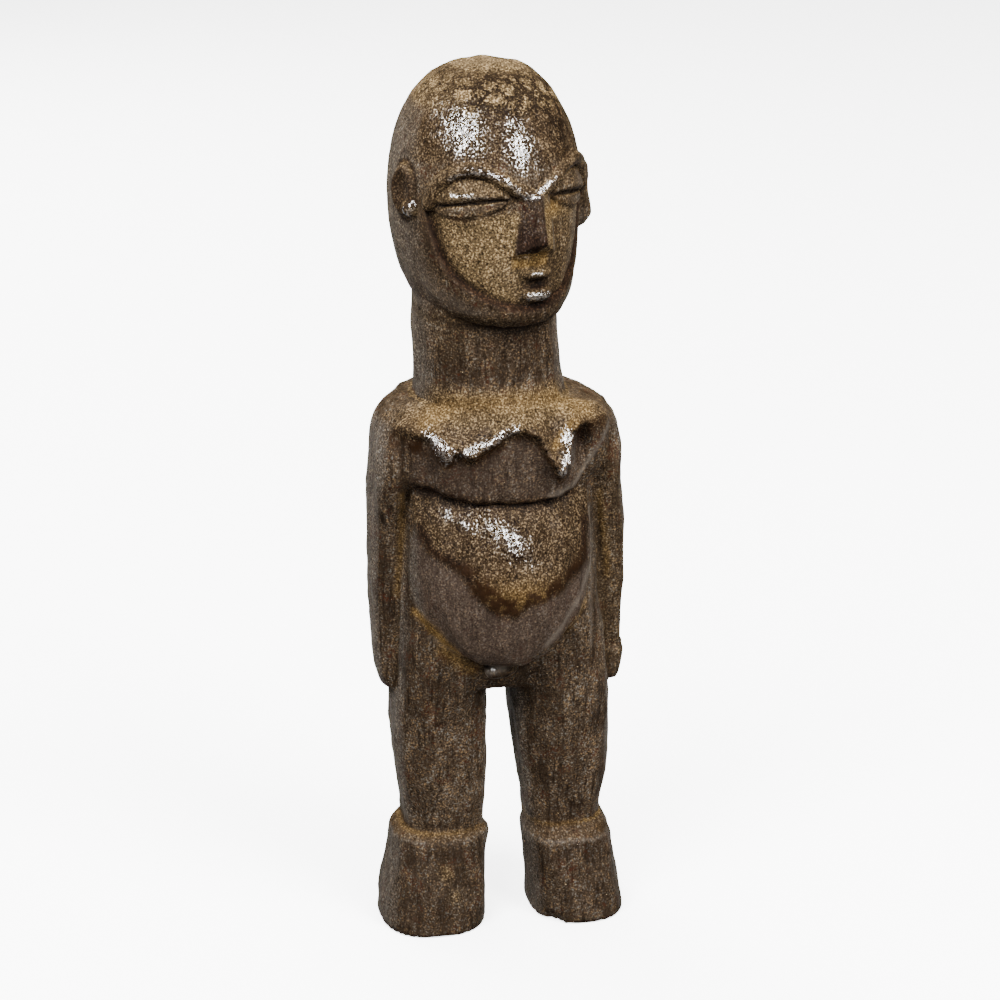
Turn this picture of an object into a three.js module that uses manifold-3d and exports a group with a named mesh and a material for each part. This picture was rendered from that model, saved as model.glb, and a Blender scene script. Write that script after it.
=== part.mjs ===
// A standing wooden figure in the Lobi style, carved from one billet.
// It faces -Y and stands on z = 0. Its own right hand is on the -X side. Units are millimetres.
import * as THREE from "three";
import { mergeVertices } from "three/addons/utils/BufferGeometryUtils.js";
import Module from "manifold-3d";

// The height drives the whole carving: every other size is a percentage of it.
const HEIGHT = 240;
const share = (percent) => (percent / 100) * HEIGHT;

// The depth of a plane that lies in front of the whole figure, in percent.
const IN_FRONT = -14;

const RIGHT = -1;
const LEFT = 1;
const radians = THREE.MathUtils.degToRad;

const wasm = await Module();
wasm.setup();

// Geometry helpers

// Moves every vertex of a geometry; move takes a Vector3 and changes it.
function reshape(geometry, move) {
  const position = geometry.getAttribute("position");
  const point = new THREE.Vector3();
  for (let i = 0; i < position.count; i += 1) {
    point.fromBufferAttribute(position, i);
    move(point);
    position.setXYZ(i, point.x, point.y, point.z);
  }
  return geometry;
}

// A closed geometry as a solid that can be joined and cut.
function solid(geometry) {
  const bare = geometry.clone();
  bare.deleteAttribute("normal");
  bare.deleteAttribute("uv");
  const merged = mergeVertices(bare, 1e-3);
  return new wasm.Manifold(
    new wasm.Mesh({
      numProp: 3,
      vertProperties: merged.getAttribute("position").array,
      triVerts: new Uint32Array(merged.index.array),
    }),
  );
}

// Reach from the middle of a superellipse to its rim in the unit direction (x, y).
function rim(x, y, wide, deep, squareness) {
  return (Math.abs(x / wide) ** squareness + Math.abs(y / deep) ** squareness) ** (-1 / squareness);
}

function curve(points) {
  return new THREE.CatmullRomCurve3(points, false, "catmullrom");
}

// A limb or trunk as a stack of rounded sections, from the lowest station to the highest.
// A station is [z, x, half width, reach to the front, reach to the back, dip], in percent.
// A section with a dip slopes: its front edge hangs that much lower than its middle.
// A relief gives how far the front stands out at a place (x, z), all in percent.
function loft(stations, { sides, rings, squareness = 2, relief = () => 0 }) {
  const middles = curve(stations.map(([z, x]) => new THREE.Vector3(share(x), 0, share(z))));
  const reaches = curve(
    stations.map(([, , wide, front, back]) => new THREE.Vector3(share(wide), share(front), share(back))),
  );
  const dips = curve(stations.map(([, , , , , dip = 0]) => new THREE.Vector3(share(dip), 0, 0)));
  const geometry = new THREE.CylinderGeometry(1, 1, 1, sides, rings).rotateX(Math.PI / 2);
  return reshape(geometry, (point) => {
    const t = THREE.MathUtils.clamp(point.z + 0.5, 0, 1);
    const middle = middles.getPoint(t);
    const reach = reaches.getPoint(t);
    const angle = Math.atan2(point.y, point.x);
    const x = Math.cos(angle);
    const y = Math.sin(angle);
    const deep = y < 0 ? reach.y : reach.z;
    const reached = rim(x, y, reach.x, deep, squareness);
    const raised = y < 0 ? -y * share(relief((middle.x + x * reached) / share(1), middle.z / share(1))) : 0;
    const r = Math.hypot(point.x, point.y) * (reached + raised);
    point.set(middle.x + x * r, y * r, middle.z + (dips.getPoint(t).x * y * r) / deep);
  });
}

// An egg at a point, with its three half sizes in percent, turned about the vertical.
function egg([x, y, z], [wide, deep, tall], { turn = 0, sides = 16, rings = 10 } = {}) {
  return new THREE.SphereGeometry(1, sides, rings)
    .rotateX(Math.PI / 2)
    .scale(share(wide), share(deep), share(tall))
    .rotateZ(turn)
    .translate(share(x), share(y), share(z));
}

// A flat outline in the XZ plane, given in percent, made a slab between two depths.
function slab(outline, near, far) {
  const shape = new THREE.Shape(outline.map(([x, z]) => new THREE.Vector2(share(x), share(z))));
  const geometry = new THREE.ExtrudeGeometry(shape, { depth: share(far - near), bevelEnabled: false });
  return geometry.rotateX(Math.PI / 2).translate(0, share(far), 0);
}

// A round bead of wood along a line.
function bead(points, radius, steps) {
  const section = new THREE.Shape().absarc(0, 0, share(radius), 0, 2 * Math.PI);
  return new THREE.ExtrudeGeometry(section, { extrudePath: curve(points), steps, curveSegments: 3 });
}

// Trunk

// A low rounded swelling, or a hollow where the height is below zero.
const swelling = (x, z, [atX, atZ, wide, tall, height]) =>
  height * Math.exp(-(((x - atX) / wide) ** 2) - ((z - atZ) / tall) ** 2);

// The chest is a shelf with three swellings along its edge: the two breasts and the breastbone.
// A hollow parts the left breast from the shoulder.
const CHEST = [
  [-6.0, 58.5, 3.0, 1.9, 1.3],
  [6.0, 58.5, 2.6, 2.0, 1.3],
  [0.9, 60.2, 2.4, 1.3, 0.8],
  [9.8, 59.8, 1.5, 2.0, -1.2],
];

const chestRelief = (x, z) => CHEST.reduce((sum, place) => sum + swelling(x, z, place), 0);

function trunk() {
  return loft(
    [
      [30.0, 0.4, 10.6, 5.4, 6.2],
      [32.0, 0.4, 12.0, 6.4, 7.8],
      [37.0, 0.1, 11.9, 7.2, 8.6],
      [44.0, -0.2, 11.6, 7.6, 7.8],
      [50.0, -0.2, 11.5, 7.8, 7.6],
      [53.6, -0.1, 11.8, 8.0, 8.1],
      [54.6, 0.0, 12.2, 9.6, 8.3],
      [57.0, 0.0, 13.0, 10.1, 8.7],
      [59.8, 0.0, 13.3, 9.9, 8.9],
      [61.6, -0.1, 12.2, 9.0, 8.7],
      [62.9, -0.4, 9.9, 8.1, 8.0],
      [63.6, -0.6, 7.8, 7.2, 7.0],
    ],
    { sides: 40, rings: 28, squareness: 2.6, relief: chestRelief },
  );
}

function belly() {
  return loft(
    [
      [31.4, 0.2, 1.6, 6.6, 3],
      [32.4, 0.1, 4.4, 8.8, 3],
      [34.4, 0.0, 7.0, 10.2, 3],
      [38.0, -0.2, 9.5, 11.2, 3],
      [43.0, -0.5, 10.6, 11.4, 3],
      [48.0, -0.4, 11.0, 10.5, 3],
      [52.0, -0.3, 11.1, 9.6, 3],
      [55.0, -0.2, 11.1, 9.0, 3],
    ],
    { sides: 26, rings: 12, squareness: 2.1 },
  );
}

function buttock(side) {
  const cleft = 0.3;
  const apart = 5.6;
  const splay = -12;
  return egg([cleft + side * apart, 3.2, 35.8], [6.3, 6.7, 7.6], { turn: side * radians(splay) });
}

// The lower edge of the chest rises to the left shoulder, where this wedge has been cut away.
function shoulderCut() {
  const start = 7.2;
  const recession = 0.7;
  const depth = -8;
  const line = [
    [start, 54.0],
    [9.0, 56.1],
    [11.4, 59.8],
    [13.0, 62.4],
    [18.0, 62.4],
    [18.0, 54.0],
  ];
  return reshape(slab(line, IN_FRONT, depth), (point) => {
    point.y += recession * (point.x - share(start));
  });
}

// Neck, a plain column that widens a little on the shoulders

function neck() {
  return loft(
    [
      [60.0, -0.4, 8.9, 8.8, 8.2],
      [63.4, -0.6, 8.4, 8.4, 8.2],
      [66.0, -0.9, 8.15, 8.1, 8.1],
      [71.0, -1.2, 7.95, 8.0, 8.0],
      [77.0, -1.3, 7.7, 7.9, 7.9],
    ],
    { sides: 30, rings: 4 },
  );
}

// Limbs. The two sides differ a little, because they are cut by eye.

const ARMS = {
  [RIGHT]: [
    [28.7, -11.9, 0.8, 2.2, 2.4],
    [30.0, -12.15, 1.35, 2.9, 3.1],
    [32.0, -12.3, 1.7, 3.2, 3.2],
    [36.0, -12.3, 1.9, 3.1, 3.2],
    [44.0, -12.4, 2.0, 3.7, 3.6],
    [50.0, -12.3, 2.1, 4.6, 4.1],
    [56.0, -11.8, 2.2, 6.3, 4.6],
    [60.0, -11.1, 2.2, 5.6, 4.6],
    [62.4, -10.0, 1.6, 4.2, 3.8],
  ],
  [LEFT]: [
    [28.3, 12.7, 1.3, 2.4, 2.4],
    [29.2, 12.7, 1.7, 3.1, 3.1],
    [32.4, 12.8, 2.0, 3.3, 3.2],
    [33.6, 12.7, 1.8, 3.0, 3.1],
    [44.0, 12.6, 2.1, 3.7, 3.6],
    [50.0, 12.4, 2.1, 4.4, 4.1],
    [56.0, 11.8, 2.2, 5.4, 4.6],
    [59.6, 11.1, 2.2, 5.0, 4.6],
    [61.8, 10.0, 1.6, 4.2, 3.8],
  ],
};

const LEGS = {
  [RIGHT]: [
    [10.5, -6.2, 4.5, 4.5, 4.8],
    [14.0, -6.25, 4.7, 4.9, 5.2],
    [19.0, -6.45, 5.2, 5.4, 5.8],
    [25.0, -6.7, 5.35, 5.8, 6.4],
    [31.0, -6.7, 5.4, 6.6, 7.6],
    [38.0, -6.4, 5.2, 6.8, 7.2],
    [45.0, -6.2, 4.6, 5.6, 5.6],
  ],
  [LEFT]: [
    [9.6, 7.8, 4.2, 4.4, 4.8],
    [13.0, 7.75, 4.4, 4.8, 5.1],
    [17.5, 7.8, 5.1, 5.3, 5.7],
    [23.0, 7.55, 5.55, 5.8, 6.4],
    [30.0, 7.2, 5.7, 6.6, 7.6],
    [38.0, 6.5, 5.3, 6.8, 7.2],
    [45.0, 6.2, 4.6, 5.6, 5.6],
  ],
};

// A foot is a block that widens downwards, with a ledge around the ankle and a flat sole.
const FEET = {
  [RIGHT]: [
    [0.0, -7.7, 6.2, 7.9, 5.6],
    [3.5, -7.5, 6.0, 7.3, 5.5],
    [8.0, -7.0, 5.6, 6.3, 5.4],
    [10.8, -6.8, 5.5, 5.6, 5.3],
    [11.6, -6.75, 5.2, 5.2, 5.1],
  ],
  [LEFT]: [
    [0.0, 9.4, 5.6, 7.6, 5.6],
    [3.0, 9.2, 5.4, 7.1, 5.5],
    [7.0, 8.6, 5.15, 6.3, 5.4],
    [9.6, 8.3, 5.0, 5.7, 5.3],
    [10.4, 8.25, 4.75, 5.3, 5.1],
  ],
};

// The front inner corner of the left sole has broken away.
const chip = () => egg([4.6, -7.6, 0.2], [2.3, 2.6, 1.7], { turn: radians(35), sides: 12, rings: 6 });

const arm = (side) => loft(ARMS[side], { sides: 16, rings: 14, squareness: 2.4 });
const leg = (side) => loft(LEGS[side], { sides: 22, rings: 9, squareness: 2.5 });
const foot = (side) => loft(FEET[side], { sides: 26, rings: 4, squareness: 2.6 });

// Head, carved facing -Y on the axis x = y = 0, then turned to its own left

const HEAD_TURN = 18;
const HEAD_SHIFT = -1.05;
const SKULL_SQUARENESS = 2.15;
const FACE_DEPTH = 0.5;

// The depth of a plane well inside the head, behind the whole face.
const INSIDE_FACE = -2.5;

const SKULL = [
  [73.9, 0, 5.4, 7.6, 5.4, 1.4],
  [74.0, 0, 6.6, 9.0, 6.8, 1.4],
  [75.0, 0, 7.9, 10.0, 8.2, 1.3],
  [76.8, 0, 8.9, 10.5, 9.2, 1.1],
  [79.5, 0, 9.6, 10.7, 10.2, 0.7],
  [83.0, 0, 10.1, 10.75, 10.9, 0.2],
  [87.0, 0, 10.1, 10.7, 11.1, 0],
  [91.0, 0, 9.6, 10.2, 10.7, 0],
  [94.5, 0, 8.4, 8.9, 9.6, 0],
  [97.3, 0.1, 6.7, 7.1, 7.8, 0],
  [99.2, 0.3, 4.4, 4.8, 5.3, 0],
  [99.9, 0.4, 2.2, 2.4, 2.6, 0],
  [100, 0.4, 0.2, 0.2, 0.2, 0],
];

function skull() {
  return loft(SKULL, { sides: 36, rings: 24, squareness: SKULL_SQUARENESS });
}

// A point on the skull, at an angle round from the middle of the face, lifted off by a little.
function onSkull(angle, z, lift = 0) {
  const above = SKULL.findIndex((station) => station[0] > z);
  const [low, high] = [SKULL[above - 1], SKULL[above]];
  const part = (z - low[0]) / (high[0] - low[0]);
  const [, , wide, front, back] = low.map((value, i) => THREE.MathUtils.lerp(value, high[i], part));
  const x = Math.sin(radians(angle));
  const y = -Math.cos(radians(angle));
  const r = rim(x, y, wide, y < 0 ? front : back, SKULL_SQUARENESS) + lift;
  return [x * r, y * r, z];
}

const vector = ([x, y, z]) => new THREE.Vector3(share(x), share(y), share(z));

// An egg seated on the skull and facing straight out of it.
function seated(angle, z, lift, sizes, detail = {}) {
  return egg(onSkull(angle, z, lift), sizes, { turn: radians(angle), ...detail });
}

// The brow, as pairs of angle and height from the outer end down to the root of the nose.
const BROW = [
  [63, 86.4],
  [57, 88.4],
  [48, 89.7],
  [38, 90.2],
  [27, 89.9],
  [15, 88.6],
  [0, 87.0],
];

// The edge of the cheek, from the outer end of the brow down to the chin.
const CHEEK = [
  [62, 85.6],
  [59, 83.2],
  [55, 80.9],
  [49, 78.9],
  [40, 77.6],
  [30, 76.6],
  [19, 75.4],
  [11, 74.1],
];

// The face lies a little below the skull, inside the brow and the cheek edges.
function faceCut() {
  const half = [...BROW].reverse().concat(CHEEK).map(([angle, z]) => onSkull(angle, z));
  const rightSide = half.map(([x, , z]) => [x, z]);
  const chinWide = 1.6;
  const belowChin = 72;
  const chin = [
    [chinWide, belowChin],
    [-chinWide, belowChin],
  ];
  const leftSide = half.slice(1).reverse().map(([x, , z]) => [-x, z]);
  const around = solid(slab([...rightSide, ...chin, ...leftSide], IN_FRONT, INSIDE_FACE));
  const sunk = SKULL.map(([z, x, wide, front, back, dip]) => [z, x, wide, front - FACE_DEPTH, back, dip]);
  return around.subtract(solid(loft(sunk, { sides: 36, rings: 18, squareness: SKULL_SQUARENESS })));
}

// A long closed eye: a socket under the brow, a swollen lid and the slit below it.
function eye(face, side) {
  const socket = seated(side * 37, 87.6, 0.9, [5.2, 1.9, 2.3], { sides: 16, rings: 8 });
  const lid = seated(side * 38, 87.4, -1.7, [4.8, 2.1, 1.7], { sides: 18, rings: 8 });
  const lower = seated(side * 39, 85.1, -1.5, [4.7, 1.4, 1.0], { sides: 16, rings: 6 });
  return face.subtract(solid(socket)).add(solid(lid)).add(solid(lower));
}

// The brow is a raised ridge, more than half of it sunk in the skull.
function brow(side) {
  const radius = 0.8;
  const sunk = -0.35;
  return bead(BROW.map(([angle, z]) => vector(onSkull(side * angle, z, sunk))), radius, 10);
}

// The nose is a wedge with a flat base, widest at the nostrils.
function nose() {
  const top = 86.9;
  const bottom = 80.9;
  const root = 0.7;
  const nostrils = 2.9;
  const out = 2.3;
  const ridge = 0.36;
  const block = new THREE.BoxGeometry(1, 1, 1);
  return reshape(block, (point) => {
    const low = point.z < 0;
    const atFront = point.y < 0;
    const wide = (low ? nostrils : root) * (atFront ? ridge : 1);
    const [, front] = onSkull(0, low ? bottom : top, low ? out : 0);
    const y = atFront ? front : INSIDE_FACE;
    point.set(share(Math.sign(point.x) * wide), share(y), share(low ? bottom : top));
  });
}

function lips() {
  const upper = seated(4, 78.5, -0.5, [1.8, 1.4, 0.75], { sides: 12, rings: 6 });
  const lower = seated(4, 76.9, -0.6, [1.7, 1.5, 0.75], { sides: 12, rings: 6 });
  return solid(upper).add(solid(lower));
}

// The right ear lies close to the head: a low oval with a hollow in it.
function rightEar(face) {
  const shell = seated(-87, 87.0, -0.5, [1.9, 1.3, 2.9], { sides: 14, rings: 8 });
  const hollow = seated(-87, 87.4, 0.9, [1.0, 0.7, 1.7], { sides: 10, rings: 6 });
  return face.add(solid(shell)).subtract(solid(hollow));
}

// The left ear stands out from the head: an oval with a notched rim.
function leftEar(face) {
  const angle = 86;
  const thick = 6;
  const rimLine = [
    [9.0, 89.3],
    [11.2, 88.7],
    [12.0, 87.6],
    [11.8, 85.4],
    [12.3, 82.2],
    [11.4, 81.0],
    [9.0, 80.3],
  ];
  const plate = solid(slab(rimLine, -thick / 2, thick / 2).rotateZ(radians(angle - 90)));
  const oval = seated(angle, 84.8, 0, [2.2, 4.5, 4.8], { sides: 16, rings: 10 });
  const hollow = seated(angle, 84.8, 2.4, [1.1, 1.1, 2.4], { sides: 10, rings: 6 });
  return face.add(plate.intersect(solid(oval))).subtract(solid(hollow));
}

function head() {
  let face = solid(skull()).subtract(faceCut());
  for (const side of [RIGHT, LEFT]) {
    face = eye(face, side);
    face = face.add(solid(brow(side)));
  }
  face = leftEar(rightEar(face)).add(solid(nose())).add(lips());
  return face.rotate([0, 0, HEAD_TURN]).translate([share(HEAD_SHIFT), 0, 0]);
}

// The whole figure, in one piece

function carve() {
  let body = solid(trunk()).add(solid(belly()));
  body = body.subtract(solid(shoulderCut())).add(solid(neck())).add(head());
  for (const side of [RIGHT, LEFT]) {
    for (const form of [arm, leg, foot, buttock]) {
      body = body.add(solid(form(side)));
    }
  }
  return body.subtract(solid(chip()));
}

function figure() {
  const carved = carve().getMesh();
  const geometry = new THREE.BufferGeometry()
    .setAttribute("position", new THREE.BufferAttribute(carved.vertProperties, 3))
    .setIndex(new THREE.BufferAttribute(carved.triVerts, 1));
  geometry.computeBoundingBox();
  const middle = geometry.boundingBox.getCenter(new THREE.Vector3());
  geometry.translate(-middle.x, -middle.y, 0);
  geometry.computeVertexNormals();
  const wood = new THREE.MeshStandardMaterial({ color: 0x4a3524, roughness: 0.45, metalness: 0 });
  const mesh = new THREE.Mesh(geometry, wood);
  mesh.name = "figure";
  return mesh;
}

const group = new THREE.Group();
group.add(figure());
export default group;
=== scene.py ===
# %% [markdown]
# # A Lobi bateba figure
#
# A bateba is a small standing figure, cut from one billet of hardwood with an adze and a knife,
# that stands in a house shrine of the Lobi people. This one is 24 cm tall. The head is turned to
# its left on a long column of a neck, the chest is a shelf over a full belly, the arms lie flat
# against the sides and the feet are blocks. Years of offerings have left a dark, half-glossy skin
# on it, with a pebbled crust on the forehead, the chest and the belly.

import math

import bmesh
import bpy
import numpy as np
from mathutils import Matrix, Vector


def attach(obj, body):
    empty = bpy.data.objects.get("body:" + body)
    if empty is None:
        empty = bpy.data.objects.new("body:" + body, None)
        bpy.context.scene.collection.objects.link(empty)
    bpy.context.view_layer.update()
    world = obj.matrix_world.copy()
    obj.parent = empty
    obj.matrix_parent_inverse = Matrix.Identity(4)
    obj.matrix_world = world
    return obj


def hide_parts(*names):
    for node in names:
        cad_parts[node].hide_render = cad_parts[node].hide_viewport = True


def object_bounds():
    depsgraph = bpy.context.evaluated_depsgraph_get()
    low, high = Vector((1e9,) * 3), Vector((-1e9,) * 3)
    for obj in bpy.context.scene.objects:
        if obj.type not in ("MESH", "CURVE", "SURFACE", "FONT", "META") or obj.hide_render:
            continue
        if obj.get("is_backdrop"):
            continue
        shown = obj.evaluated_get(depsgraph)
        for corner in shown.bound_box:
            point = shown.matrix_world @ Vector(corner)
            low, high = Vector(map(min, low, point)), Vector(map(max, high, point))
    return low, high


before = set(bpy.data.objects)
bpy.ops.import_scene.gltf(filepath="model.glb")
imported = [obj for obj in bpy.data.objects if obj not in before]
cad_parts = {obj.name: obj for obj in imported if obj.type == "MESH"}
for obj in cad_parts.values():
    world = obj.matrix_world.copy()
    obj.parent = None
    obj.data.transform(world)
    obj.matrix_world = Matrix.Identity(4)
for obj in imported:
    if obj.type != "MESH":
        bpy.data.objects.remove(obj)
HEIGHT = 0.240
PERCENT = HEIGHT / 100
RIGHT, LEFT = -1, 1
# The middle of the carving, which goes over the origin, in percent of the height.
MIDDLE = np.array([0.2787, -0.7979, 0.0])
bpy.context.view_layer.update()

# %% [markdown]
# ## Forms as fields
#
# A carver works from rounded masses that run into each other. They could be sculpted by hand, or
# joined with Booleans, but sculpting leaves no sizes to change and a Boolean leaves hard seams. So
# each mass here is a field: a number at every place that is below zero inside the wood and grows
# with the distance from its skin. Fields join, cut and blend with plain arithmetic, and every joint
# can have its own fillet. All sizes are percentages of the height.

# %% Smooth runs and blends


def dense(rows, steps=16):
    """A smooth run through rows of numbers, by a Catmull-Rom curve."""
    rows = np.array(rows, float)
    ends = np.vstack([2 * rows[0] - rows[1], rows, 2 * rows[-1] - rows[-2]])
    t = np.linspace(0, 1, steps, endpoint=False)[:, None]
    runs = []
    for a, b, c, d in zip(ends, ends[1:], ends[2:], ends[3:]):
        square, cube = 2 * a - 5 * b + 4 * c - d, 3 * b - a - 3 * c + d
        runs.append(0.5 * (2 * b + (c - a) * t + square * t**2 + cube * t**3))
    return np.vstack(runs + [rows[-1:]])


def smooth_min(a, b, k):
    """The smaller of two fields, with a fillet of about that size between them."""
    h = np.clip(0.5 + 0.5 * (b - a) / k, 0, 1)
    return b * (1 - h) + a * h - k * h * (1 - h)


def smooth_max(a, b, k):
    return -smooth_min(-a, -b, k)


def step(low, high, value):
    """Rises smoothly from nothing at the first number to one at the second."""
    t = np.clip((value - low) / (high - low), 0, 1)
    return t * t * (3 - 2 * t)


def band(value, low, full_from, full_to, high):
    """Rises to one between the first two numbers and falls again between the last two."""
    return step(low, full_from, value) * step(high, full_to, value)


def line_at(value, at, width):
    """One where the value is just that, and falling off on both sides."""
    return np.exp(-(((value - at) / width) ** 2))


def bump(x, z, at, size):
    """A low round swelling at a place, one high."""
    return np.exp(-(((x - at[0]) / size[0]) ** 2) - ((z - at[1]) / size[1]) ** 2)


print("two fields of 1 blend to", smooth_min(1.0, 1.0, 1.0), "and half way up a step is", step(0, 2, 1))

# %% Columns and eggs


def column(rows, squareness=2.0, lean=None, relief=None, end=0.25):
    """A limb or trunk. A row is height, x, half width, reach to the front and reach to the back."""
    table = dense(rows)
    low, high = table[0, 0], table[-1, 0]
    swell = np.gradient(table[:, 2:5].mean(1), table[:, 0])

    def field(p):
        x, y, z = p.T
        at = z if lean is None else z - lean(z) * y
        middle, wide, front, back = (np.interp(at, table[:, 0], table[:, i]) for i in range(1, 5))
        dx = x - middle
        if relief is not None:
            front = relief(x, z, front)
        deep = np.where(y < 0, front, back)
        q = (np.abs(dx / wide) ** squareness + np.abs(y / deep) ** squareness) ** (1 / squareness)
        out = np.hypot(dx, y)
        side = np.where(out < 0.01, -np.minimum(wide, deep), out * (1 - 1 / np.maximum(q, 1e-4)))
        side = side / np.hypot(1, np.interp(at, table[:, 0], swell))
        return smooth_max(side, np.maximum(at - high, low - at), end)

    return field, low, high


def ball(at, size, turn=0.0, tilt=0.0):
    """An egg with three half sizes, turned about the vertical and tilted in its own front plane."""
    c, s = math.cos(math.radians(turn)), math.sin(math.radians(turn))
    cc, ss = math.cos(math.radians(tilt)), math.sin(math.radians(tilt))
    size = np.array(size)

    def field(p):
        x, y, z = (p - at).T
        x, y = c * x + s * y, -s * x + c * y
        x, z = cc * x + ss * z, -ss * x + cc * z
        q = np.stack([x, y, z], 1)
        k = np.linalg.norm(q / size, axis=1)
        g = np.linalg.norm(q / size**2, axis=1)
        return k * (k - 1) / np.maximum(g, 1e-6)

    return field, at[2] - max(size), at[2] + max(size)


print("one beside an egg its field is", ball([0, 0, 0], [1, 2, 3])[0](np.array([[2.0, 0.0, 0.0]]))[0])

# %% Adding and cutting
FAR = 9.0


def where_near(p, form, margin=1.5):
    """The field of a form near its own heights, and a large number elsewhere."""
    field, low, high = form
    near = (p[:, 2] > low - margin) & (p[:, 2] < high + margin)
    value = np.full(len(p), FAR)
    value[near] = field(p[near])
    return value


def join(p, value, form, k=0.3):
    """Adds a form to what is there, with a small fillet."""
    return smooth_min(value, where_near(p, form), k)


def cut(p, value, form, k=0.2):
    """Takes a form away from what is there."""
    return smooth_max(value, -where_near(p, form), k)


FAR_AWAY = np.array([[0.0, 0.0, 50.0]])
print("far from a form its field counts as", where_near(FAR_AWAY, ball([0, 0, 0], [1, 1, 1]))[0])

# %% Outlines and lines


def nearest(x, z, starts, ends):
    """The squared distance to the nearest of some straight pieces."""
    best = np.full(x.shape, 1e9)
    for (x0, z0), (x1, z1) in zip(starts, ends):
        ex, ez = x1 - x0, z1 - z0
        t = np.clip(((x - x0) * ex + (z - z0) * ez) / (ex * ex + ez * ez), 0, 1)
        best = np.minimum(best, (x - x0 - t * ex) ** 2 + (z - z0 - t * ez) ** 2)
    return best


def outline_distance(x, z, outline):
    """Distance from a flat closed outline, below zero inside it."""
    points = np.array(outline, float)
    following = np.roll(points, -1, 0)
    inside = np.zeros(x.shape, bool)
    for (x0, z0), (x1, z1) in zip(points, following):
        crosses = (z0 > z) != (z1 > z)
        with np.errstate(divide="ignore", invalid="ignore"):
            left = x < x0 + (x1 - x0) * (z - z0) / (z1 - z0)
        inside ^= crosses & left
    return np.where(inside, -1, 1) * np.sqrt(nearest(x, z, points, following))


def along(x, z, points, width):
    """One on a run of points, falling off to nothing at about twice the width."""
    return np.exp(-nearest(x, z, points, points[1:]) / width**2)


def height_of(line, place):
    """The height of a line at a place along it."""
    return np.interp(place, *np.array(line).T)


SQUARE = [[-1, -1], [1, -1], [1, 1], [-1, 1]]
print("in the middle of a square of 2 the distance is", outline_distance(np.zeros(1), np.zeros(1), SQUARE)[0])

# %% [markdown]
# ## Trunk
#
# The chest is a shelf. Its top slopes down from the neck to a crisp edge in the shape of a flat W,
# with a breast hanging at each low point. Below the edge the front of the shelf falls back to a
# deep shadow line, and the belly comes out from under it like a shield with its own rim. The trunk
# is one column through a few rows of sizes, and a function says how far the chest comes forward at
# each place. That keeps the W and the shadow line as two plain runs of points.

# %% Chest
TRUNK = [
    [29.3, 0.4, 10.6, 5.4, 6.2],
    [32.0, 0.4, 12.0, 6.4, 7.8],
    [37.0, 0.1, 11.9, 7.2, 8.6],
    [44.0, -0.2, 11.6, 7.6, 7.8],
    [50.0, -0.2, 11.5, 7.6, 7.6],
    [53.2, -0.1, 11.8, 7.3, 8.1],
    [54.6, 0.0, 12.2, 7.6, 8.3],
    [57.0, 0.0, 13.0, 8.2, 8.7],
    [59.8, 0.0, 13.3, 8.4, 8.9],
    [61.6, -0.1, 12.2, 8.2, 8.7],
    [62.9, -0.4, 9.9, 7.8, 8.0],
    [63.6, -0.6, 7.8, 7.2, 7.0],
]
# The upper edge of the shelf, as x and height, and the shadow line under it.
EDGE = [[-14, 60.9], [-8.9, 60.9], [-8.0, 59.8], [-7.0, 58.5], [-6.3, 59.1], [-5.7, 59.5], [-5.1, 59.0],
        [-4.4, 58.8], [-3.3, 59.4], [-0.5, 61.3], [0.7, 61.8], [2.2, 61.3], [3.6, 59.6], [4.6, 57.6],
        [5.4, 56.4], [6.2, 56.8], [6.8, 58.6], [7.3, 60.6], [8.2, 61.3], [12, 61.6], [14, 61.6]]
UNDER = [[-14, 55.2], [-12, 55.0], [-10.7, 54.6], [-8.7, 54.3], [-6.6, 53.7], [-4.4, 53.2], [-1.4, 53.0],
         [1.0, 52.9], [3.7, 52.9], [5.6, 53.2], [7.0, 53.5], [8.1, 54.4], [9.1, 55.7], [10.2, 57.6],
         [11.1, 59.2], [12.2, 61.4], [14, 62.5]]
UNDER_LINE = dense(UNDER, 6)
EDGE_LINE = dense(EDGE, 6)
# A breast is a place, two half sizes and how far it comes out.
BREASTS = [([-7.5, 59.7], [1.2, 1.4], 1.0), ([-4.6, 59.5], [0.9, 0.9], 0.4), ([5.6, 57.9], [1.5, 2.3], 1.4)]
LIP_REACH, LIP_CURVE, LIP_THICKNESS = 10.75, 0.12, 0.42
TOP_SLOPE, FACE_SLOPE = 0.62, 0.1
UNDERCUT, ARMPIT_DEPTH = 3.6, 2.3


def shelf_reach(x, z, front):
    """How far the chest comes forward."""
    edge, under = height_of(EDGE_LINE, x), height_of(UNDER_LINE, x)
    lip = LIP_REACH - LIP_CURVE * np.abs(x - 0.5)
    face = lip - FACE_SLOPE * (edge - z) - LIP_THICKNESS * step(0.1, 0.6, edge - z)
    top = lip - TOP_SLOPE * (z - edge)
    shelf = smooth_min(face, top, 0.2)
    # The crust has run down and thickened into lumps along the edge.
    lumps = 0.55 + 0.3 * np.sin(2.9 * x + 1.0) + 0.2 * np.sin(6.1 * x)
    shelf = shelf + 0.5 * lumps * line_at(z - edge, 0.05, 0.5) * band(x, -9.5, -8, 6, 7)
    shelf = shelf - UNDERCUT * step(0.3, -0.8, z - under)
    reach = np.maximum(front, shelf)
    for at, size, out in BREASTS:
        reach = reach + out * bump(x, z, at, size)
    # A deep hollow parts the left breast from the shoulder. A lump lies on the right shoulder.
    reach = reach - ARMPIT_DEPTH * bump(x, z, [8.3, 58.9], [1.1, 2.1])
    lump = band(x, -13.6, -12.4, -9.6, -8.6) * band(z, 60.6, 61.0, 61.9, 63.6)
    return reach + 0.5 * lump


trunk = column(TRUNK, 2.9, relief=shelf_reach, end=0.8)
print("the edge of the chest has", len(EDGE_LINE), "points, the line under it", len(UNDER_LINE))

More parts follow.
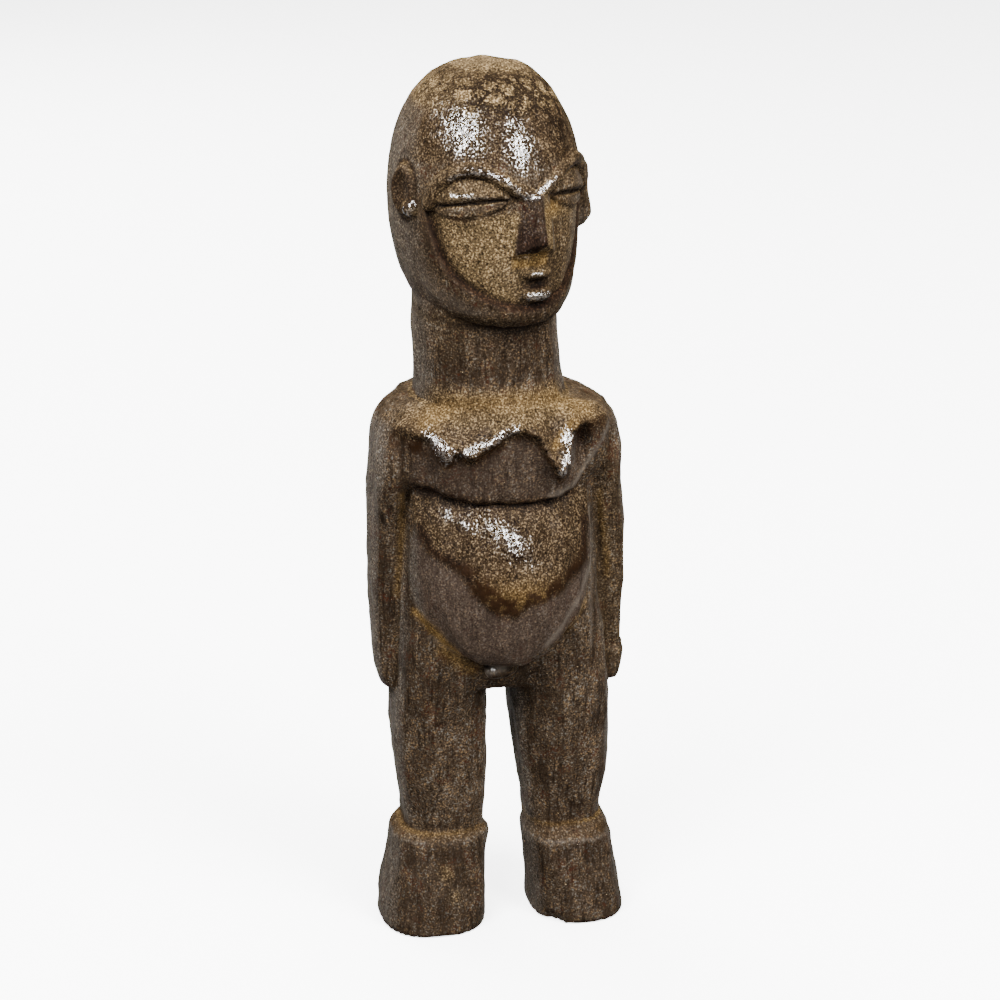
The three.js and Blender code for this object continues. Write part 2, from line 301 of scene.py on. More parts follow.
# %% Belly, buttocks and neck
BELLY = [
    [30.6, 0.2, 3.0, 6.2, 3],
    [31.6, 0.1, 5.2, 7.8, 3],
    [33.0, 0.1, 7.8, 9.3, 3],
    [35.4, 0.0, 9.6, 10.5, 3],
    [38.6, -0.2, 11.0, 11.2, 3],
    [43.0, -0.4, 11.5, 11.35, 3],
    [48.0, -0.3, 11.6, 10.5, 3],
    [51.0, -0.2, 11.6, 9.5, 3],
    [53.5, -0.2, 11.6, 8.0, 3],
    [56.0, -0.2, 11.6, 6.6, 3],
]
belly_dome = column(BELLY, 2.1)
SHIELD = [[-9.6, 56], [-10.3, 50], [-10.7, 45], [-10.3, 40.8], [-9.5, 38.6], [-7.5, 36.3], [-6, 35.1],
          [-4.4, 34.4], [-2.6, 33.9], [-0.5, 33.7], [1.8, 34.0], [3.8, 34.9], [5.8, 36.3], [8.0, 38.2],
          [9.5, 40.2], [10.0, 45], [9.9, 50], [9.4, 54], [9, 56]]
SHIELD_LINE = dense(SHIELD, 3)
SOFT_RIM, CRISP_RIM = 1.1, 0.5


def belly_field(p):
    rim = outline_distance(p[:, 0], p[:, 2], SHIELD_LINE)
    soft = np.where(p[:, 0] < 0, SOFT_RIM, CRISP_RIM)
    return smooth_max(belly_dome[0](p), rim, soft)


belly = (belly_field, BELLY[0][0], BELLY[-1][0])
buttocks = [ball([0.3 + side * 5.6, 3.2, 35.8], [6.3, 6.7, 7.6], side * -12) for side in (RIGHT, LEFT)]
NECK = [
    [60.0, -0.4, 8.9, 8.8, 8.2],
    [63.4, -0.6, 8.4, 8.4, 8.2],
    [66.0, -0.9, 8.15, 8.1, 8.1],
    [71.0, -1.2, 7.95, 8.0, 8.0],
    [77.0, -1.3, 7.7, 7.9, 7.9],
]
neck = column(NECK, 2.1)
print("belly from", belly[1], "to", belly[2], "and neck from", neck[1], "to", neck[2], "percent")

# %% [markdown]
# ## Limbs
#
# The arms are plates that lie flat on the sides, each ending in a plain mitten of a hand. The legs
# are thick and squared, and stand in block feet that have a ledge round the ankle. One side could be
# made and mirrored, but the two were cut by eye, so each side has rows of its own, as a carver would
# take them off with callipers.

# %% Rows of the arms, legs and feet
ARMS = {
    RIGHT: [
        [28.7, -11.9, 0.8, 2.2, 2.4],
        [30.0, -12.15, 1.35, 2.9, 3.1],
        [32.0, -12.3, 1.7, 3.2, 3.2],
        [36.0, -12.3, 1.9, 3.1, 3.2],
        [44.0, -12.4, 2.0, 3.7, 3.6],
        [50.0, -12.3, 2.1, 4.6, 4.1],
        [56.0, -11.8, 2.2, 6.3, 4.6],
        [60.0, -11.1, 2.2, 5.6, 4.6],
        [62.4, -10.0, 1.6, 4.2, 3.8],
    ],
    LEFT: [
        [28.3, 12.7, 1.3, 2.4, 2.4],
        [29.2, 12.7, 1.7, 3.1, 3.1],
        [32.4, 12.8, 2.0, 3.3, 3.2],
        [33.6, 12.7, 1.8, 3.0, 3.1],
        [44.0, 12.6, 2.1, 3.7, 3.6],
        [50.0, 12.4, 2.1, 4.4, 4.1],
        [56.0, 11.8, 2.2, 5.4, 4.6],
        [59.6, 11.1, 2.2, 5.0, 4.6],
        [61.8, 10.0, 1.6, 4.2, 3.8],
    ],
}
LEGS = {
    RIGHT: [
        [9.5, -6.2, 4.5, 4.5, 4.8],
        [14.0, -6.25, 4.7, 4.9, 5.2],
        [19.0, -6.45, 5.2, 5.4, 5.8],
        [25.0, -6.7, 5.35, 5.8, 6.4],
        [31.0, -6.7, 5.4, 6.6, 7.6],
        [38.0, -6.4, 5.2, 6.8, 7.2],
        [45.0, -6.2, 4.6, 5.6, 5.6],
    ],
    LEFT: [
        [8.6, 7.8, 4.2, 4.4, 4.8],
        [13.0, 7.75, 4.4, 4.8, 5.1],
        [17.5, 7.8, 5.1, 5.3, 5.7],
        [23.0, 7.55, 5.55, 5.8, 6.4],
        [30.0, 7.2, 5.7, 6.6, 7.6],
        [38.0, 6.5, 5.3, 6.8, 7.2],
        [45.0, 6.2, 4.6, 5.6, 5.6],
    ],
}
FEET = {
    RIGHT: [
        [0.0, -7.7, 6.2, 7.9, 5.6],
        [3.5, -7.5, 6.0, 7.3, 5.5],
        [8.0, -7.0, 5.6, 6.3, 5.4],
        [10.6, -6.8, 5.6, 5.85, 5.4],
        [11.2, -6.75, 5.4, 5.6, 5.2],
        [11.9, -6.7, 4.5, 4.6, 4.6],
    ],
    LEFT: [
        [0.0, 9.4, 5.6, 7.6, 5.6],
        [3.0, 9.2, 5.4, 7.1, 5.5],
        [7.0, 8.6, 5.15, 6.3, 5.4],
        [9.3, 8.35, 5.1, 5.95, 5.35],
        [9.9, 8.3, 4.95, 5.7, 5.3],
        [11.7, 8.2, 4.2, 4.4, 4.6],
    ],
}
print("rows:", sum(len(limb[side]) for limb in (ARMS, LEGS, FEET) for side in (RIGHT, LEFT)))

# %% Limbs
# Each limb comes with the size of the fillet where it joins the body.
ARM_FILLET, LEG_FILLET, FOOT_FILLET = {RIGHT: 0.5, LEFT: 0.9}, 0.35, 0.12
limbs = []
for side in (RIGHT, LEFT):
    limbs.append((column(ARMS[side], 2.4, end=0.5), ARM_FILLET[side]))
    limbs.append((column(LEGS[side], 2.6), LEG_FILLET))
    limbs.append((column(FEET[side], 2.6, end=0.35), FOOT_FILLET))
pubic_lump = ball([-0.6, -7.2, 33.0], [2.0, 1.9, 1.2], 0, 12)
# The front inner corner of the left sole has broken away.
chip = ball([4.6, -7.6, 0.2], [2.3, 2.6, 1.7], 35)
print(len(limbs), "limbs")

# %% [markdown]
# ## Head
#
# The head is worked on its own axis and then turned to the figure's left. The face lies a little
# below the skull inside a line that runs along the brow, round the cheeks and down to the chin.
# The eyes are closed: a long swollen lid under the brow, a slit, and a lower lid like a flat bead.
# These parts are placed by their angle round the skull and their height, not by x and y, so that
# they stay seated on the curve of the skull when its rows change.

# %% Skull
HEAD_TURN, HEAD_SHIFT = math.radians(18), -1.05
SKULL_SQUARENESS = 2.15
SKULL = [
    [73.75, 0, 5.2, 7.4, 5.4],
    [74.0, 0, 6.8, 9.2, 7.0],
    [75.0, 0, 8.0, 10.1, 8.3],
    [76.8, 0, 8.9, 10.5, 9.2],
    [79.5, 0, 9.6, 10.7, 10.2],
    [83.0, 0, 10.1, 10.75, 10.9],
    [87.0, 0, 10.1, 10.7, 11.1],
    [91.0, 0, 9.6, 10.2, 10.7],
    [94.5, 0, 8.4, 8.9, 9.6],
    [97.3, 0.1, 6.7, 7.1, 7.8],
    [99.2, 0.3, 4.4, 4.8, 5.3],
    [99.9, 0.4, 2.2, 2.4, 2.6],
    [100.05, 0.4, 0.2, 0.2, 0.2],
]


def in_head(p):
    """Points of the carving, as the head's own axis has them."""
    x, y, z = p[:, 0] - HEAD_SHIFT, p[:, 1], p[:, 2]
    c, s = math.cos(HEAD_TURN), math.sin(HEAD_TURN)
    return np.stack([c * x + s * y, -s * x + c * y, z], 1)


def hang(z):
    """The chin hangs lower than the nape."""
    return 0.13 * np.clip((84 - z) / 10, 0, 1) ** 1.3


skull = column(SKULL, SKULL_SQUARENESS, lean=hang, end=0.3)
skull_table = dense(SKULL)


def on_skull(angle, z, lift=0.0):
    """A point on the skull, at an angle round from the middle of the face."""
    wide, front, back = (np.interp(z, skull_table[:, 0], skull_table[:, i]) for i in (2, 3, 4))
    x, y = math.sin(math.radians(angle)), -math.cos(math.radians(angle))
    deep = front if y < 0 else back
    n = SKULL_SQUARENESS
    r = (abs(x / wide) ** n + abs(y / deep) ** n) ** (-1 / n) + lift
    return np.array([x * r, y * r, z])


def seated(angle, z, lift, size, tilt=0.0):
    """An egg seated on the skull, facing straight out of it."""
    return ball(on_skull(angle, z, lift), size, angle, tilt)


print("the skull reaches", round(float(-on_skull(0, 87)[1]), 1), "percent to the front at the eyes")

# %% Line round the face, and brows
BROW = [[64, 86.2], [57, 88.4], [48, 89.7], [38, 90.2], [27, 89.9], [15, 88.6], [0, 87.1]]
CHEEK = [[62, 85.4], [59, 83.2], [55, 80.9], [49, 78.9], [40, 77.5], [30, 76.4], [19, 75.5], [9, 75.0],
         [0, 74.8]]
half_line = [on_skull(a, z)[[0, 2]] for a, z in BROW[::-1] + CHEEK]
face_line = np.array(half_line + [[-x, z] for x, z in half_line[-2:0:-1]])
FACE_DEPTH = 0.55


def bead(points, radius):
    """A round bead along a run of points."""
    line = dense(points, 5)

    def field(p):
        best = np.full(len(p), 1e9)
        for a, b in zip(line, line[1:]):
            ab = b - a
            t = np.clip((p - a) @ ab / (ab @ ab), 0, 1)
            best = np.minimum(best, np.linalg.norm(p - a - t[:, None] * ab, axis=1))
        return best - radius

    return field, line[:, 2].min() - radius, line[:, 2].max() + radius


brows = [bead([on_skull(side * a, z, -0.3) for a, z in BROW], 0.8) for side in (RIGHT, LEFT)]
print("the line round the face has", len(face_line), "points")

# %% Eyes
# Lines across an eye, as the angle from the middle of the face and the height.
CREASE = [[12, 87.1], [16, 88.0], [23, 88.8], [31, 89.2], [40, 89.2], [47, 88.8], [54, 87.9], [60, 87.0],
          [66, 86.1]]
SLIT = [[12, 87.1], [20, 87.0], [31, 86.75], [41, 86.5], [54, 86.2], [66, 86.0]]
BAG = [[12, 86.9], [18, 86.2], [27, 85.4], [38, 84.9], [48, 84.9], [58, 85.2], [66, 85.8]]
LID_SWELL, BAG_SWELL, CREASE_DEPTH, SLIT_DEPTH = 0.7, 0.32, 0.15, 0.16


def eye_lines(angle):
    return (height_of(line, angle) for line in (CREASE, SLIT, BAG))


def eye_relief(x, y, z):
    """How far an eye swells out of the face: a lid, a slit and a lower lid like a flat bead."""
    angle = np.degrees(np.arctan2(np.abs(x), -y))
    crease, slit, bag = eye_lines(angle)
    there = band(angle, 11.5, 16, 60, 66)
    up = (z - slit) / np.maximum(crease - slit, 0.1)
    down = (slit - z) / np.maximum(slit - bag, 0.1)
    lid = LID_SWELL * band(up, -0.05, 0.3, 0.98, 1.06) * (1 - 0.6 * np.clip(up, 0, 1) ** 2)
    groove = CREASE_DEPTH * line_at(z - crease, 0.12, 0.22)
    lower = BAG_SWELL * band(down, 0, 0.35, 0.8, 1.1)
    line = SLIT_DEPTH * line_at(z, slit, 0.13)
    return there * (lid - groove + lower - line)


LOOK_AT = math.radians(35)
on_lid_there = eye_relief(np.array([-math.sin(LOOK_AT)]), np.array([-math.cos(LOOK_AT)]), np.array([87.6]))
print("the lid swells by", round(float(on_lid_there[0]), 2), "percent of the height")

# %% Nose and mouth
NOSE_TOP, NOSE_ROOT, NOSE_BASE, NOSE_LENGTH = 87.4, 86.9, 80.8, 6.0
ROOT_REACH, TIP_REACH = 11.7, 1.45


def nose_field(p):
    """A wedge, widest at the nostrils, with a flat ridge and a base that rises to the tip."""
    x, y, z = p.T
    t = np.clip((NOSE_ROOT - z) / NOSE_LENGTH, 0, 1)
    front = -(ROOT_REACH + TIP_REACH * t)
    flare = 0.98 - 0.18 * t
    sides = (np.abs(x - 0.25) - 0.3 - flare * (y - front)) / np.hypot(1, flare)
    block = smooth_max(sides, (front - y) * 0.95, 0.15)
    base = (NOSE_BASE + 0.6 * (-10.2 - y) - z) / 1.17
    return smooth_max(block, np.maximum(np.maximum(base, z - NOSE_TOP), y + 9.0), 0.15)


nose = (nose_field, NOSE_BASE + 0.1, NOSE_TOP)
lips = [seated(5, 78.75, -0.85, [1.9, 1.45, 0.75]), seated(5, 76.4, -0.75, [1.85, 1.5, 0.95])]
mouth = seated(5, 77.65, 0.05, [1.45, 0.6, 0.22])
print("nose from", NOSE_TOP, "down to", NOSE_BASE, "and", len(lips), "lips")

# %% Ears
right_shell = seated(-86, 87.0, -0.25, [2.1, 1.6, 3.0])
right_hollow = seated(-83, 87.3, 1.55, [1.5, 1.3, 2.5])
right_lobe = seated(-78, 85.4, 0.1, [0.95, 0.85, 0.95])
LEFT_EAR = [[8.6, 89.5], [11.3, 88.9], [12.05, 87.7], [11.75, 85.4], [12.35, 82.3], [11.5, 81.0], [8.6, 80.2]]
EAR_TURN = math.radians(-4)
left_oval = seated(86, 84.9, 0, [2.1, 4.6, 4.9])
left_hollow = seated(84, 85.0, 2.5, [1.3, 1.2, 2.6])


def left_ear_field(p):
    """A plate that stands out from the head, with a notched rim."""
    out = math.cos(EAR_TURN) * p[:, 0] + math.sin(EAR_TURN) * p[:, 1]
    plate = outline_distance(out, p[:, 2], LEFT_EAR)
    return smooth_max(smooth_max(left_oval[0](p), plate, 0.3), -left_hollow[0](p), 0.2)


left_ear = (left_ear_field, 80.0, 89.8)
print("the left ear has", len(LEFT_EAR), "corners")

# %% The head as one field
GROOVE_DEPTH = 0.26


def head_field(p):
    p = in_head(p)
    value = skull[0](p)
    front = np.where((p[:, 1] < -2) & (p[:, 2] < 92) & (np.hypot(p[:, 0], p[:, 1]) > 6))[0]
    q = p[front]
    inside = -outline_distance(q[:, 0], q[:, 2], face_line)
    face = value[front] + FACE_DEPTH * step(-0.3, 0.6, inside) + GROOVE_DEPTH * line_at(inside, 0.2, 0.4)
    face = face - eye_relief(*q.T)
    for brow in brows:
        face = join(q, face, brow, 0.2)
    face = join(q, face, nose, 0.1)
    for lip in lips:
        face = join(q, face, lip, 0.15)
    value[front] = cut(q, face, mouth, 0.1)
    value = cut(p, join(p, value, right_shell, 0.15), right_hollow, 0.2)
    value = join(p, value, right_lobe, 0.1)
    return join(p, value, left_ear, 0.2)


head = (head_field, 73.5, 100.2)
print("head from", head[1], "to", head[2], "percent of the height")

# %% The whole carving as one field


def carving(p):
    value = where_near(p, trunk)
    value = join(p, value, belly, 0.2)
    value = join(p, value, neck, 0.35)
    for form in buttocks:
        value = join(p, value, form, 0.8)
    for form, k in limbs:
        value = join(p, value, form, k)
    value = join(p, value, pubic_lump, 0.5)
    value = join(p, value, head, 0.2)
    value = cut(p, value, chip, 0.2)
    return np.maximum(value, -p[:, 2])


print("carving field at the heart of the chest", round(float(carving(np.array([[0.0, 0.0, 57.0]]))[0]), 2))

# %% [markdown]
# ## From field to wood
#
# The skin of the carving is where the field is zero. A grid of small cells finds it: each cell that
# the skin crosses gets one corner of the mesh, and neighbouring cells are joined by four-sided faces.
# Blender's Remesh could do the same to overlapping shapes, but it would lose the fillets. The corners
# are then moved onto the skin itself. The face gets a mesh twice as fine.

# %% A net over the field
CELL = 0.46
LOW_CORNER, HIGH_CORNER = [-15.6, -13.2, -1.0], [15.8, 11.8, 101.0]
SLAB = 24


def skin(field, low, high, cell):
    """Surface nets: the corners and four-sided faces of a field's skin."""
    counts = [int(math.ceil((b - a) / cell)) + 1 for a, b in zip(low, high)]
    axes = [a + cell * np.arange(n) for a, n in zip(low, counts)]
    value = np.empty(counts)
    for k0 in range(0, counts[2], SLAB):
        block = np.stack(np.meshgrid(axes[0], axes[1], axes[2][k0 : k0 + SLAB], indexing="ij"), -1)
        value[:, :, k0 : k0 + SLAB] = field(block.reshape(-1, 3)).reshape(block.shape[:3])
    inside = value < 0
    corner = [(i, j, k) for i in (0, 1) for j in (0, 1) for k in (0, 1)]
    nx, ny, nz = (n - 1 for n in counts)
    filled = sum(inside[i : nx + i, j : ny + j, k : nz + k].astype(int) for i, j, k in corner)
    cells = np.argwhere((filled > 0) & (filled < 8))
    number = np.full((nx, ny, nz), -1)
    number[tuple(cells.T)] = np.arange(len(cells))
    total, hits = np.zeros((len(cells), 3)), np.zeros(len(cells))
    for a in corner:
        for axis in range(3):
            if a[axis]:
                continue
            b = list(a)
            b[axis] = 1
            va, vb = value[tuple((cells + a).T)], value[tuple((cells + b).T)]
            crosses = (va < 0) != (vb < 0)
            t = np.where(crosses, va / np.where(crosses, va - vb, 1), 0)
            point = cells + np.array(a, float)
            point[:, axis] += t
            total += np.where(crosses[:, None], point, 0)
            hits += crosses
    points = np.array(low) + cell * total / hits[:, None]
    faces = []
    for axis in range(3):
        u, v = (axis + 1) % 3, (axis + 2) % 3
        first = np.moveaxis(inside, axis, 0)
        edges = np.argwhere(np.moveaxis(first[:-1] != first[1:], 0, axis))
        edges = edges[(edges[:, u] > 0) & (edges[:, v] > 0)]
        ring = []
        for du, dv in ((1, 1), (0, 1), (0, 0), (1, 0)):
            near = edges.copy()
            near[:, u] -= du
            near[:, v] -= dv
            ring.append(number[tuple(near.T)])
        quad = np.stack(ring, 1)
        outward = inside[tuple(edges.T)]
        faces.append(np.where(outward[:, None], quad, quad[:, ::-1]))
    return points, np.vstack(faces)


points, quads = skin(carving, LOW_CORNER, HIGH_CORNER, CELL)
print("skin", len(points), "corners", len(quads), "faces")

# %% A finer face, and every corner onto the skin


def slope(field, p, step_size=0.04):
    """The field's slope at each point."""
    here = []
    for axis in range(3):
        move = np.zeros(3)
        move[axis] = step_size
        here.append((field(p + move) - field(p - move)) / (2 * step_size))
    return np.stack(here, 1)


def settle(field, p, rounds=2, longest=0.35):
    """Moves points onto the skin."""
    for _ in range(rounds):
        g = slope(field, p)
        move = -field(p)[:, None] * g / np.maximum((g * g).sum(1), 0.2)[:, None]
        length = np.linalg.norm(move, axis=1, keepdims=True)
        p = p + move * np.minimum(1, longest / np.maximum(length, 1e-9))
    return p


mesh = bpy.data.meshes.new("carved_figure")
mesh.from_pydata(points.tolist(), [], quads.tolist())
bm = bmesh.new()
bm.from_mesh(mesh)
facing = Vector((math.sin(HEAD_TURN), -math.cos(HEAD_TURN), 0))
chosen = set()
for f in bm.faces:
    middle = f.calc_center_median()
    if 74.5 < middle.z < 91.5 and (middle - Vector((HEAD_SHIFT, 0, 83))).dot(facing) > 3.5:
        chosen.update(e.index for e in f.edges)
edges = [e for e in bm.edges if e.index in chosen]
bmesh.ops.subdivide_edges(bm, edges=edges, cuts=1, use_grid_fill=True)
bmesh.ops.triangulate(bm, faces=bm.faces[:])
bm.to_mesh(mesh)
bm.free()
corners = np.empty(len(mesh.vertices) * 3)
mesh.vertices.foreach_get("co", corners)
corners = settle(carving, corners.reshape(-1, 3))
corners[:, 2] = np.maximum(corners[:, 2], 0)
print("mesh", len(mesh.vertices), "corners", len(mesh.polygons), "triangles")

# %% [markdown]
# ## What time has done
#
# Dust stays where a cloth or a hand can't reach, edges wear, and offerings build up a crust on the
# places they are poured over. Such layers could be painted on an image, but an image has to be
# unwrapped and made again for each change. Here a layer is a number at every corner of the mesh,
# worked out from the field and from a few lines drawn in percent of the height. The material reads
# it as an attribute.

# %% How closed in a place is, and how sharp
normal = slope(carving, corners)
normal /= np.maximum(np.linalg.norm(normal, axis=1, keepdims=True), 1e-9)
PROBES_OUT, PROBES_IN = (0.5, 1.2, 2.4), (0.5, 1.0)
closed_in = sum(1 - carving(corners + d * normal) / d for d in PROBES_OUT) / len(PROBES_OUT)
sharp = sum(1 + carving(corners - d * normal) / d for d in PROBES_IN) / len(PROBES_IN)
layers = {}


def keep(name, values):
    """Keeps a layer, as a number from 0 to 1 at every corner."""
    layers[name] = np.clip(values, 0, 1)
    print(name, "lies on", round(100 * float(layers[name].mean()), 1), "% of the corners")


keep("edge", sharp)

# %% Places on the body and on the head
x, y, z = corners.T
wander = 0.5 * np.sin(2.1 * x + 0.7 * z) + 0.35 * np.sin(4.3 * x - 1.9 * z) + 0.2 * np.sin(9 * x + 7 * z)
front_of_body, well_in_front = (y < -5) * (z < 66), y < -4
right_foot, left_foot = x < 0.5, x > 0.5
edge_height, under_height = height_of(EDGE_LINE, x), height_of(UNDER_LINE, x)
head_place = in_head(corners)
across_face, out_of_face, _ = head_place.T
angle = np.degrees(np.arctan2(across_face, -out_of_face))
into_face = -outline_distance(across_face, z, face_line)
front_of_head, near_face, mid_face = out_of_face < -2, out_of_face < -3, out_of_face < -8
_, slit_height, bag_height = eye_lines(np.abs(angle))
on_nose = step(0.3, 0.1, where_near(head_place, nose)) * step(-10.4, -10.7, out_of_face)
far_side_of_nose = on_nose * step(0.5, 0.9, across_face)
on_nose = on_nose * (1 - far_side_of_nose)
at_mouth = bump(across_face, z, [0.7, 77.3], [1.9, 1.7]) * mid_face
ear_hollow = where_near(head_place, right_hollow)
under_brow = band(z, 87.0, 87.6, 90.4, 91) * (into_face > -0.6) * near_face
# The recess layer feeds the dust and also the painted shade in hollows. The ear hollow and the part under the
# brow get less of it.
keep("recess", np.clip(closed_in, 0, 1) * (1 - 0.9 * step(0.25, -0.1, ear_hollow)) * (1 - 0.4 * under_brow))


def drawn(rows):
    """The sum of some lines on the front. A row is an amount, a width, a limit for y and the points."""
    return sum(amount * along(x, z, line, width) * (y < limit) for amount, width, limit, line in rows)


# %% [markdown]
# ## Crust, dust and ochre
#
# Offerings poured over the figure have dried to a pebbled crust on the forehead, the edge of the
# chest and the upper belly. Pale dust lies on the face, the scalp and the top of the chest, and ochre
# has stayed in the creases. Masks with clean borders would look cut out, so the borders of the crust
# are outlines with some waves added, and the ochre lies along lines that fade to both sides.

# %% Crust
CRUST_ON_BELLY = [[-10.2, 54], [-10.2, 51.9], [-10.0, 50.1], [-8.7, 47.4], [-7.2, 46.7], [-5.7, 45.7],
                  [-4.1, 43.3], [-2.6, 41.8], [-1.3, 40.8], [0.1, 40.4], [1.9, 41.9], [4.9, 42.5],
                  [7.0, 43.5], [8.8, 45.0], [9.1, 47.3], [9.2, 50.8], [9.2, 54]]
into_crust = -outline_distance(x, z, CRUST_ON_BELLY)
ragged = into_crust - 0.3 * wander
on_belly = step(-0.35, 0.35, ragged) * well_in_front * (z < 53.5)
on_chest = step(-1.6, -0.4, z - edge_height + 0.3 * wander) * step(66, 64, z) * step(-3, -6, y)
on_head = step(90.2, 91.0, z + 0.25 * wander) * step(84, 74, np.abs(angle) + 4 * wander)
on_brow = step(0.3, 0.0, np.minimum(*(where_near(head_place, brow) for brow in brows)))
keep("crust", on_belly + on_chest + on_head + 0.8 * on_brow)

# %% Dust on the face, the scalp and the top of the chest
on_face = step(-0.2, 0.6, into_face) * near_face * step(86, 84.8, z)
far_cheek = step(1.3, 2.2, across_face) * step(85.0, 84.0, z)
beside_mouth = bump(across_face, z, [-2.6, 79.0], [2.0, 2.4])
on_bag = step(bag_height - 0.7, bag_height, z) * step(slit_height + 0.1, slit_height - 0.1, z)
on_bag = on_bag * near_face * (into_face > -0.5)
on_lid = step(0.2, 0.6, z - slit_height) * step(-0.2, 0.4, into_face) * near_face
far_eye = step(1.6, 2.4, across_face) * step(86.2, 86.8, z)
on_scalp = step(95.2, 96.4, z + 0.4 * wander)
top_of_chest = step(60.9, 62.3, z + 0.4 * wander) * step(66.5, 64, z) * step(-2, -5, y)
top_of_chest *= 0.35 + 0.65 * band(x, -10, -6, 6.5, 10)
# Less dust beside the mouth is painted shade.
dust_and_highlight_layer = 0.92 * on_face * (1 - 0.7 * far_cheek) * (1 - 0.4 * beside_mouth) * (1 - 0.75 * on_bag)
dust_and_highlight_layer += 0.4 * on_lid * (1 - 0.7 * far_eye) * step(89.3, 88.6, z)
dust_and_highlight_layer += 0.7 * on_scalp + 0.55 * top_of_chest + 0.12 * step(66, 72, z)
dust_and_highlight_layer = np.clip(dust_and_highlight_layer, 0, 1) * (1 - at_mouth)
dust_and_highlight_layer = np.clip(dust_and_highlight_layer + 0.6 * far_side_of_nose, 0, 1) * (1 - on_nose)
# A little lies on the left arm, in the right ear and in two rubbed spots on the right foot. Below the
# right ear the pale dust colour is painted on the lobe as a highlight.
on_left_arm = step(10.6, 11.4, x) * band(z, 28, 33, 55, 60) * step(2, -1, y)
lobe_highlight = bump(angle, z, [-79, 85.2], [5, 0.9])
on_foot = 0.9 * bump(x, z, [-6.9, 7.4], [0.7, 0.9]) + 0.6 * bump(x, z, [-6.0, 4.7], [0.6, 0.7])
dust_and_highlight_layer += 0.12 * on_left_arm + 0.6 * lobe_highlight + on_foot * well_in_front + 0.3 * step(0.2, -0.1, ear_hollow)
keep("dusty_and_highlit", dust_and_highlight_layer)

# %% Ochre in the creases
# The right groin and the fold below it, the left groin, the arms, the left breast and the neck.
OCHRE_LINES = (
    (1.1, 0.4, -5, [[-9.9, 39.5], [-8.7, 38.3], [-7.7, 37.1], [-6.6, 35.9], [-5.3, 34.8]]),
    (0.7, 0.75, -4, [[-7.0, 35.3], [-5.6, 33.7], [-3.8, 32.4]]),
    (0.5, 0.35, -5, [[9.3, 39.8], [7.0, 37.0], [4.6, 35.2]]),
    (0.4, 0.35, -2, [[-11.35, 53.4], [-11.3, 49], [-11.4, 44.5], [-11.8, 41]]),
    (0.4, 0.35, -2, [[11.1, 52], [11.4, 49.5], [12.0, 45.9], [12.4, 41.5]]),
    (0.9, 0.35, -5, [[4.9, 59.2], [6.2, 60.5], [7.4, 61.5]]),
    (0.45, 0.9, -5, [[-9, 62.0], [-5.5, 63.9], [0, 64.4], [5, 63.9], [9, 62.4]]),
)
ledges = band(z, 10.9, 11.3, 11.6, 12.2) * right_foot + band(z, 9.8, 10.2, 11.1, 11.9) * left_foot
ankles = 0.3 * line_at(z, 11.75, 0.14) * right_foot + line_at(z, 11.8, 0.16) * left_foot
under_nose = band(z, 79.3, 79.7, 80.9, 81.4) * step(2.4, 1.8, np.abs(across_face)) * mid_face
eye_corner = bump(across_face, z, [2.6, 85.6], [1.6, 0.8]) * mid_face
ochre_layer = drawn(OCHRE_LINES) + 0.5 * bump(x, z, [0.8, 42.6], [4.5, 1.8]) * on_belly
ochre_layer += 0.12 * ledges + 0.9 * ankles + under_nose + eye_corner
keep("ochre", np.clip(ochre_layer, 0, 1) * (1 - on_nose))

# %% [markdown]
# ## Dark places, painted shade, painted highlights and polish
#
# Soot and grease have darkened the nose, the mouth, the forehead crust and bands round the face and
# the crust. Dark colour is also painted in as shade under the chin, under the chest, by the left
# breast, in and round the right ear and on the ankle ledges, and light grey is painted along some
# ridges as highlights. Hands polish the crust on high places. A mask from the sharpness of an edge
# alone would mark every edge alike, so these places are lines and spots set one by one.

# %% Dark places and painted shade
rim_of_face = line_at(into_face, 0.1, 0.5916) * front_of_head * step(85.5, 84, z) * (z > 73)
rim_of_crust = line_at(ragged, 0.3, 0.5477) * well_in_front * (z < 50)
# Painted shadow under the chin and under the chest, and painted shade in the hollow by the left breast,
# inside the right ear and round its shell.
painted_chin_shadow = bump(x, z, [1.0, 71.3], [4.5, 2.6]) * (y < -2) * (z < 74.5)
painted_chest_shadow = line_at(z - under_height, -0.25, 0.85) * front_of_body * band(x, -10.8, -9.8, 7.0, 8.2)
shade_by_left_breast = bump(x, z, [8.3, 58.9], [1.0, 2.0]) * (y < -3)
shade_in_ear = line_at(ear_hollow, 0.05, 0.14) * (across_face < -6)
shade_round_ear = line_at(where_near(head_place, right_shell), 0.25, 0.2) * (across_face < -6)
# The nose, the mouth, the forehead crust and the bands round the face and the crust are dark of their own.
# The rest is painted shade, on the tops of the ankle ledges too.
dark_and_shade_layer = on_nose * (0.98 - 0.5 * step(82.6, 85.2, z)) + 0.7 * at_mouth + 1.1 * rim_of_face
dark_and_shade_layer += 0.95 * rim_of_crust + 0.22 * on_head * (1 - on_scalp) + 0.45 * painted_chin_shadow + 0.25 * ledges
dark_and_shade_layer += 0.85 * painted_chest_shadow + 0.8 * shade_by_left_breast + 0.75 * shade_in_ear + 0.9 * shade_round_ear
keep("dark", dark_and_shade_layer)

